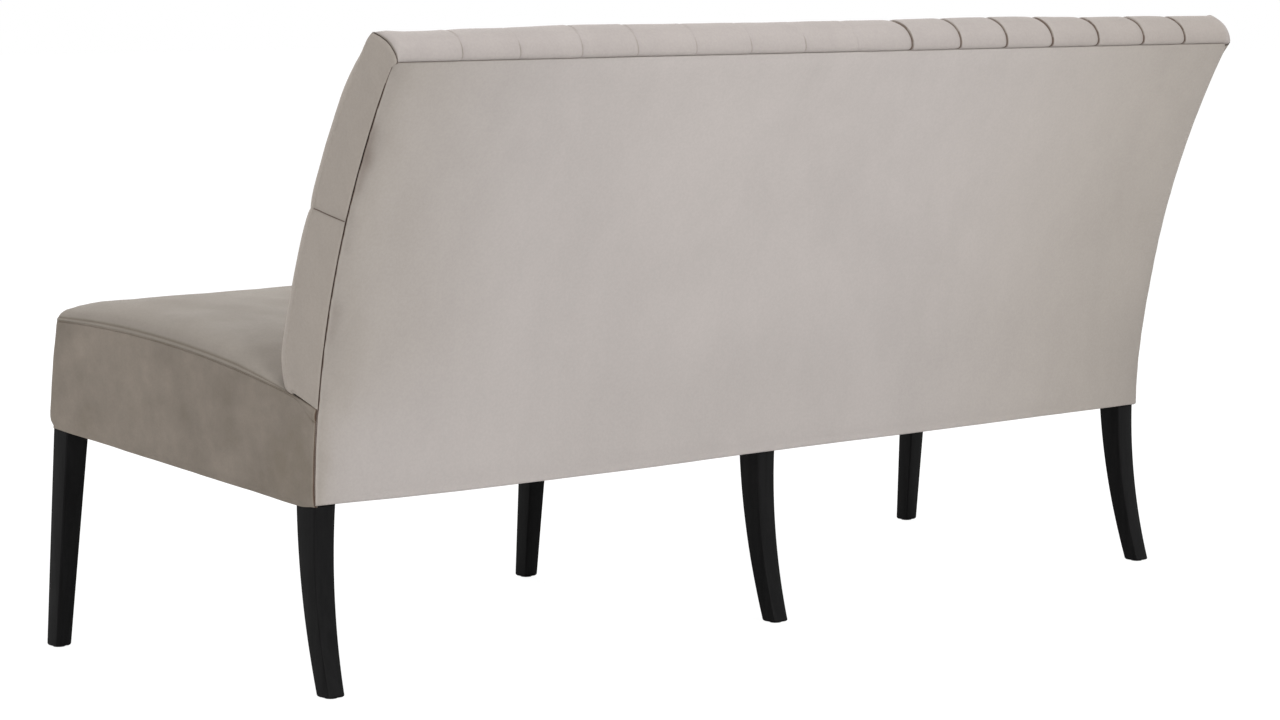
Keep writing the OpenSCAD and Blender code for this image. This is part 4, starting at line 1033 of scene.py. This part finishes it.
# painted shade of the seat: dark lines along the stitches and the seam, darker between them, darker
# where it meets the back, and a little lighter towards the front
seat_painted_shade = -0.32 * bell(d_in - STITCH, STITCH_W) - 0.05 * bell(d_in - STITCH, 0.0025)
seat_painted_shade -= 0.08 * (d_in < STITCH) + 0.12 * fall(seat_v - TUCK_V, 0.03)
seat_painted_shade += 0.03 * smooth(0.35, 0.50, seat_v) * smooth(0.01, 0.05, d_in)
# the edge is turned under behind the border
seat_grid = np.pad(seat_grid, ((0, 1), (1, 1), (0, 0)), mode="edge")
seat_low = np.pad(seat_low, ((0, 1), (1, 1), (0, 0)), mode="edge")
seat_painted_shade = np.pad(seat_painted_shade, ((0, 1), (1, 1)), mode="edge")
for edge, inward in ((np.s_[:, 0], (1, 0)), (np.s_[:, -1], (-1, 0)), (np.s_[-1], (0, 1))):
    seat_grid[edge] += mm(4.2 * inward[0], 4.2 * inward[1], -2.2)
seat_cushion = shell("seat_cushion", seat_grid, seat_low, seat_painted_shade)
place(seat_cushion, SEAT, "velvet", "seat_top_cover", "seat_foam")


# The border: one strip round the sides and front, with its seam under the double row of stitches
def outline_path(v0):
    """Points [x, v, nx, nv] of the outline from one rear end round the front to the other."""
    end_v = CORNER_V - CORNER_R * math.sin(SPLAY)
    shares = np.concatenate([[0, 0.0012, 0.0026, 0.0045, 0.0075, 0.012], np.linspace(0.018, 1, 92)])
    vs = v0 + (end_v - v0) * shares
    turned = np.ones(len(vs))
    side = np.stack([half_w(vs), vs, math.cos(SPLAY) * turned, -math.sin(SPLAY) * turned], 1)
    a = np.linspace(-SPLAY, math.pi / 2, 14)[1:]
    x, v = CORNER_X + CORNER_R * np.cos(a), CORNER_V + CORNER_R * np.sin(a)
    half = np.vstack([side, np.stack([x, v, np.cos(a), np.sin(a)], 1)])
    front = np.array([(x, SEAT_LEN, 0, 1) for x in np.linspace(CORNER_X, -CORNER_X, 300)[1:-1]])
    return np.vstack([half, front, half[::-1] * np.array([-1, 1, -1, 1])])


RETURN_V = 0.06
BORDER_BACK = 0.0028
loop = outline_path(0.0)
down = mm(0, 0.5, 1.1, 1.6, 2.1, 2.6, 3.2, 4.2, 5.8, 8.0, 10.5, 13.0, 15.5, 18.0, 21.0)
h_shares = np.concatenate([[0, 0.006, 0.014, 0.026, 0.045, 0.075], np.linspace(0.115, 1.0, 18)])
PROFILE_UP = [0, 0.02, 0.05, 0.09, 0.14, 0.25, 0.4, 0.55, 0.7, 0.85, 0.95, 1]
PROFILE_OUT = [-0.5, -0.05, 0.25, 0.36, 0.42, 0.46, 0.5, 0.5, 0.46, 0.34, 0.15, 0]


def rear_end(ws):
    """Where the border ends at the rear, in the corner seam."""
    y = rear_y(SEAT_Z + ws * math.cos(PITCH)) - 0.0030
    return (REAR_Y + ws * math.sin(PITCH) - y) / math.cos(PITCH)


def bulge_at(nv):
    """How far the border bulges, which is less at the sides than in front."""
    return BULGE * lerp(SIDE_SHARE, 1, max(0.0, nv))


def border_grid(thick):
    """The strip, its painted shade, and how far each point lies below the seam."""
    out, shades, depths = [], [], []
    for px, v, nx, nv in loop:
        top = float(seam_w(v)) - SEAM_GAP
        low = RAIL_LIFT - 0.0040 + 0.0045 * bell(v, 0.018)
        ws = np.concatenate([low + h_shares * (top - down[-1] - low), top - down[::-1][1:]])
        below = top - ws
        rear = bell(v, 0.030)
        line = STITCH + 0.0165 * rear
        half_line = bell(below - line * 0.5, line * 0.45)
        off = bulge_at(nv) * np.interp((ws - RAIL_LIFT) / (top - RAIL_LIFT), PROFILE_UP, PROFILE_OUT)
        off = off - 0.0008 * bell(below - line, lerp(0.0006, 0.0018, rear))
        off = off + (0.0004 + 0.0022 * rear) * half_line
        lip = 0.0045 * (1 - smooth(0.07, 0.12, v)) * smooth(0.010, 0.002, below)
        back = thick + lip if thick else 0
        off = off - back
        vv, x = np.full(len(ws), v), abs(px)
        if v < RETURN_V:
            ends = rear_end(ws)
            vv = ends + v * (RETURN_V - ends) / RETURN_V
            x = half_w(vv)
        tuck_in = 0.0030 * max(0.0, 1 - v / 0.0030) ** 2
        out.append(seat_point(math.copysign(1, px) * x + nx * (off - tuck_in), vv + nv * off, ws))
        # painted shade: dark lines at the seam, along the stitches and in the rear corner seam, a little
        # darker at the bottom edge and towards the rear
        shade = -0.33 * bell(below - line, lerp(0.0005, 0.0010, rear))
        shade = shade - 0.36 * bell(below, 0.0006) * smooth(0.10, 0.06, v)
        shade = np.minimum(shade, -0.62 * (1 - float(smooth(0.0003, 0.0013, v))))
        shade = shade - 0.13 * bell(below - line * 0.5, 0.0012) * (1 - rear)
        shade = shade - 0.03 * fall(ws - low, 0.010)
        shade = shade - 0.06 * rear * smooth(0.03, 0.0, below) - 0.10 * float(smooth(0.22, 0.02, v))
        shades.append(shade)
        depths.append(below)
    return np.array(out).transpose(1, 0, 2), np.array(shades).T, np.array(depths).T


border_outer, border_pile_and_shade, under_seam = border_grid(0.0)
border_inner = border_grid(BORDER_BACK)[0]
ripple = 0.0008 * waves(border_outer, 51, 0.12) + 0.00035 * waves(border_outer, 52, 0.04)
ripple *= smooth(0.002, 0.022, under_seam)
border_outer[..., 0] += loop[:, 2] * ripple
border_outer[..., 1] -= loop[:, 3] * ripple
# random blotches where the pile lies differently, on top of the painted shade
brushed = border_outer @ np.array([[1, 0, 0], [0, 1, 0.5], [0, -0.35, 1]])
for strength, *blotches in ((0.040, 53, 0.13, 14), (0.036, 54, 0.055, 24), (0.026, 55, 0.022, 30)):
    border_pile_and_shade = border_pile_and_shade + strength * waves(brushed, *blotches)
border = shell("seat_border", border_outer, border_inner, border_pile_and_shade)
place(border, BORDER, "velvet", "seat_front_border", "seat_side_border_left", "seat_side_border_right")


# Twin rows of stitches along the seam, one on the seat's top and one on its border
STITCH_PITCH, STITCH_LONG, THREAD_R = 0.0040, 0.0031, 0.00036
STITCH_RINGS = [(-0.5, 0.25), (-0.38, 0.85), (0.0, 1.0), (0.38, 0.85), (0.5, 0.25)]
STITCH_SIDES = 6


def stitches(pts, norms):
    """Small flattened capsules along a line of points with outward normals."""
    s = along(pts)
    at = (np.arange(int(s[-1] / STITCH_PITCH)) + 0.5) * STITCH_PITCH
    where, there = resample(pts, at), resample(pts, np.minimum(at + 0.001, s[-1]))
    verts, faces = [], []
    for p, q, n in zip(where, there, np.stack([np.interp(at, s, norms[:, k]) for k in range(3)], 1)):
        d = (q - p) / max(np.linalg.norm(q - p), 1e-9)
        n = n / np.linalg.norm(n)
        c = np.cross(d, n)
        base = len(verts)
        for share, fat in STITCH_RINGS:
            for a in np.arange(STITCH_SIDES) * 2 * math.pi / STITCH_SIDES:
                lift = THREAD_R * fat * (0.35 + 0.75 * math.sin(a))
                beside = THREAD_R * fat * 1.1 * math.cos(a)
                verts.append(p + d * share * STITCH_LONG + c * beside + n * lift)
        faces += tube_faces(base, len(STITCH_RINGS), STITCH_SIDES)
        faces.append(tuple(range(base, base + STITCH_SIDES))[::-1])
        faces.append(tuple(range(len(verts) - STITCH_SIDES, len(verts))))
    return verts, faces


def seam_line_points(on_top):
    pts, norms = [], []
    for x, v, nx, nv in outline_path(TUCK_V + 0.004 if on_top else RETURN_V):
        if on_top:
            off, tilt = -STITCH, 0.7
            w = float(seat_top(np.array(x + nx * off), np.array(v + nv * off))[0]) - 0.0009
            n = seat_point(nx * tilt, v + nv * tilt, w + tilt)
        else:
            off = bulge_at(nv) * 0.05 - 0.0007
            w = float(seam_w(v)) - SEAM_GAP - STITCH
            n = seat_point(nx, v + nv, w)
        pts.append(seat_point(x + nx * off, v + nv * off, w))
        norms.append(n - seat_point(0, v, w))
    return np.array(pts), np.array(norms)


for name, on_top in (("topstitch_seat", True), ("topstitch_border", False)):
    thread = make(name, *stitches(*seam_line_points(on_top)))
    place(thread, THREAD, "velvet")


# Legs
EDGE_R = 0.0026
CORNER_SIDES = 5
FOOT_CUT = 0.0020
FRONT_LEG_Y = REAR_Y - FRONT_LEG_V * math.cos(PITCH)
REAR_LEG_Y = REAR_Y - REAR_LEG_V * math.cos(PITCH)
FRONT_LEG_X = float(half_w(FRONT_LEG_V)) - BULGE * SIDE_SHARE - FRONT_W / 2
REAR_LEG_X = BACK_HALF - BULGE * SIDE_SHARE - REAR_W / 2


def leg_top_z(y):
    v = (REAR_Y - y) / math.cos(PITCH)
    low = min(max(0.025 - v, 0) * 3.5 / 12, 0.0026) + RAIL_LIFT - 0.0002
    return SEAT_Z + (REAR_Y - y) * math.tan(PITCH) + low / math.cos(PITCH)


def leg_ring(x, y, w, d, t):
    """A rounded rectangle round (x, y), at share t of the height from the glide to the seat."""
    pts = []
    for corner, (qx, qy) in enumerate(((1, 1), (-1, 1), (-1, -1), (1, -1))):
        for k in range(CORNER_SIDES + 1):
            a = math.radians(90 * corner + 90 * k / CORNER_SIDES)
            px = x + qx * (w / 2 - EDGE_R) + EDGE_R * math.cos(a)
            py = y + qy * (d / 2 - EDGE_R) + EDGE_R * math.sin(a)
            pts.append((px, py, lerp(GLIDE_H, leg_top_z(py), t)))
    return pts


def add_leg(node, ring_at):
    verts, faces = [], []
    for t in np.concatenate([[0, 0.003, 0.007, 0.012], np.linspace(0.02, 1, 44)]):
        x, y, w, d = ring_at(t)
        cut = 2 * FOOT_CUT * (1 - min(1, t / 0.010)) ** 2
        verts += leg_ring(x, y, w - cut, d - cut, t)
    n = 4 * (CORNER_SIDES + 1)
    faces = tube_faces(0, len(verts) // n, n)
    faces.append(tuple(range(n))[::-1])
    faces.append(tuple(range(len(verts) - n, len(verts))))
    leg = make(node + "_lacquered", verts, faces)
    for end in (1, 2):
        leg.data.polygons[len(faces) - end].use_smooth = False
    place(leg, LEG, "leg_lacquer", node)


for name, sign in (("left", -1), ("centre", 0), ("right", 1)):
    add_leg("front_leg_" + name, lambda t: (
        sign * (FRONT_LEG_X + ((FRONT_W - FRONT_FOOT) / 2 + FRONT_SPLAY) * (1 - t)),
        FRONT_LEG_Y - FRONT_RAKE * (1 - t),
        lerp(FRONT_FOOT, FRONT_W, t), lerp(FRONT_FOOT, FRONT_D, t),
    ))
    add_leg("rear_leg_" + name, lambda t: (
        sign * (REAR_LEG_X + ((REAR_W - REAR_FOOT) / 2 + REAR_SPLAY) * (1 - t)),
        REAR_LEG_Y + REAR_SWEEP * (1 - t) ** 2,
        lerp(REAR_FOOT, REAR_W, t), lerp(REAR_FOOT, REAR_D, t**1.4),
    ))


# Dust cloth under the seat: one sheet, cut out round the legs, sagging a little between the rails
FRAME_INSET = 0.0063
FRONT_RAIL_V = SEAT_LEN - BULGE - 0.0034
DUST_V = 0.0255
NOTCH_GAP = 0.002
BAY = 0.41585
WING_X, WING_END = 0.850, 0.8515
notches = []
for lx, lv, w, d in (
    (FRONT_LEG_X, FRONT_LEG_V, FRONT_W, FRONT_D), (REAR_LEG_X, REAR_LEG_V, REAR_W, REAR_D),
):
    dx, dv = w / 2 + NOTCH_GAP, d / 2 + NOTCH_GAP
    notches += [(s * lx - dx, s * lx + dx, lv - dv, lv + dv) for s in (-1, 0, 1)]
cut_v = [e for n in notches for e in n[2:] if DUST_V < e < FRONT_RAIL_V] + [DUST_V, FRONT_RAIL_V]
cloth_v = merge_steps(np.linspace(DUST_V, FRONT_RAIL_V, 46), cut_v, 0.003)
cut_x = sorted({round(e, 5) for n in notches for e in n[:2] if abs(e) < WING_X})
cloth_x = merge_steps(np.linspace(-WING_X, WING_X, 150), cut_x, 0.003)
rows = []
for v in cloth_v:
    wing = np.linspace(WING_X, max(half_w(v) - FRAME_INSET, WING_END), 4)[1:]
    rows.append(np.concatenate([-wing[::-1], cloth_x, wing]))
cloth_gx = np.array(rows)
cloth_gv = np.broadcast_to(cloth_v[:, None], cloth_gx.shape)
sag = 0.0045 * np.abs(np.sin(np.pi * cloth_gx / BAY)) ** 0.7
sag *= np.sin(np.pi * np.clip((cloth_gv - 0.045) / 0.46, 0, 1)) ** 0.7
cloth = seat_point(cloth_gx, cloth_gv, 0.0010 - sag)
cloth[..., 2] += 0.0004 * waves(cloth, 61, 0.06)
faces = grid_faces(*cloth_gx.shape)[1]
mid_x, mid_v = cloth_gx.ravel()[faces].mean(-1), cloth_gv.ravel()[faces].mean(-1)
cut = np.zeros(mid_x.shape, bool)
for x0, x1, v0, v1 in notches:
    cut |= (x0 < mid_x) & (mid_x < x1) & (v0 < mid_v) & (mid_v < v1)
dust = make("dust_cloth_sheet", cloth.reshape(-1, 3), faces[~cut])
place(dust, DUST, "dust_cloth", "dust_cover")


# Camera at the photograph's place, floor, backdrop and lamps
def set_up(name, data, location, looking):
    obj = bpy.data.objects.new(name, data)
    obj.location = location
    obj.rotation_mode = "QUATERNION"
    obj.rotation_quaternion = Vector(looking).to_track_quat("-Z", "Y")
    bpy.context.scene.collection.objects.link(obj)
    return obj


YAW, TILT = 0.7501, 0.1069
cam_data = bpy.data.cameras.new("camera")
cam_data.sensor_width = 36
cam_data.sensor_fit = "HORIZONTAL"
cam_data.lens = 103.68
looking = (-math.sin(YAW) * math.cos(TILT), -math.cos(YAW) * math.cos(TILT), -math.sin(TILT))
bpy.context.scene.camera = set_up("camera", cam_data, (3.8837, 4.0763, 0.9845), looking)

FLOOR_HALF = 30
PALE, WHITE = (0.80, 0.80, 0.80, 1), (1, 1, 1, 1)
corners = [(x * FLOOR_HALF, y * FLOOR_HALF, 0) for x, y in ((-1, -1), (1, -1), (1, 1), (-1, 1))]
floor = make("floor", corners, [(0, 1, 2, 3)])
paper = bpy.data.materials.new("white_floor")
paper.use_nodes = True
tree = paper.node_tree
tree.nodes.clear()
seen = add_node(tree, "ShaderNodeLightPath").outputs["Is Camera Ray"]
blend = add_node(tree, "ShaderNodeMath", {0: seen, 1: 0.80}, operation="MULTIPLY").outputs[0]
matte = add_node(tree, "ShaderNodeBsdfDiffuse", {"Color": PALE}).outputs[0]
glow = add_node(tree, "ShaderNodeEmission", {"Color": WHITE, "Strength": 1.18}).outputs[0]
surface = add_node(tree, "ShaderNodeMixShader", {0: blend, 1: matte, 2: glow}).outputs[0]
add_node(tree, "ShaderNodeOutputMaterial", {"Surface": surface})
floor.data.materials.append(paper)

world = bpy.data.worlds.new("studio")
bpy.context.scene.world = world
world.use_nodes = True
tree = world.node_tree
rays = add_node(tree, "ShaderNodeLightPath").outputs
seen = rays["Is Camera Ray"]
for kind in ("Is Glossy Ray", "Is Transmission Ray"):
    seen = add_node(tree, "ShaderNodeMath", {0: seen, 1: rays[kind]}, operation="MAXIMUM").outputs[0]
level = add_node(tree, "ShaderNodeMapRange", {"Value": seen, "To Min": 0.55, "To Max": 1.0})
tree.nodes["Background"].inputs["Color"].default_value = WHITE
tree.links.new(level.outputs[0], tree.nodes["Background"].inputs["Strength"])


def lamp(name, location, target, size, power):
    data = bpy.data.lights.new(name, "AREA")
    data.shape = "RECTANGLE"
    data.size, data.size_y = size
    data.energy = power
    set_up(name, data, location, Vector(target) - Vector(location))


lamp("key", (0.2, 4.6, 2.4), (0, 0.2, 0.5), (3.2, 2.2), 120)
lamp("side", (4.2, 0.6, 2.2), (0.3, 0, 0.5), (2.4, 2.0), 40)
lamp("front", (-1.5, -4.5, 2.8), (0, 0, 0.5), (3.5, 2.5), 110)
lamp("top", (0, 0.2, 4.2), (0, 0, 0.5), (4.0, 2.5), 50)

bpy.context.scene.view_settings.view_transform = "Standard"
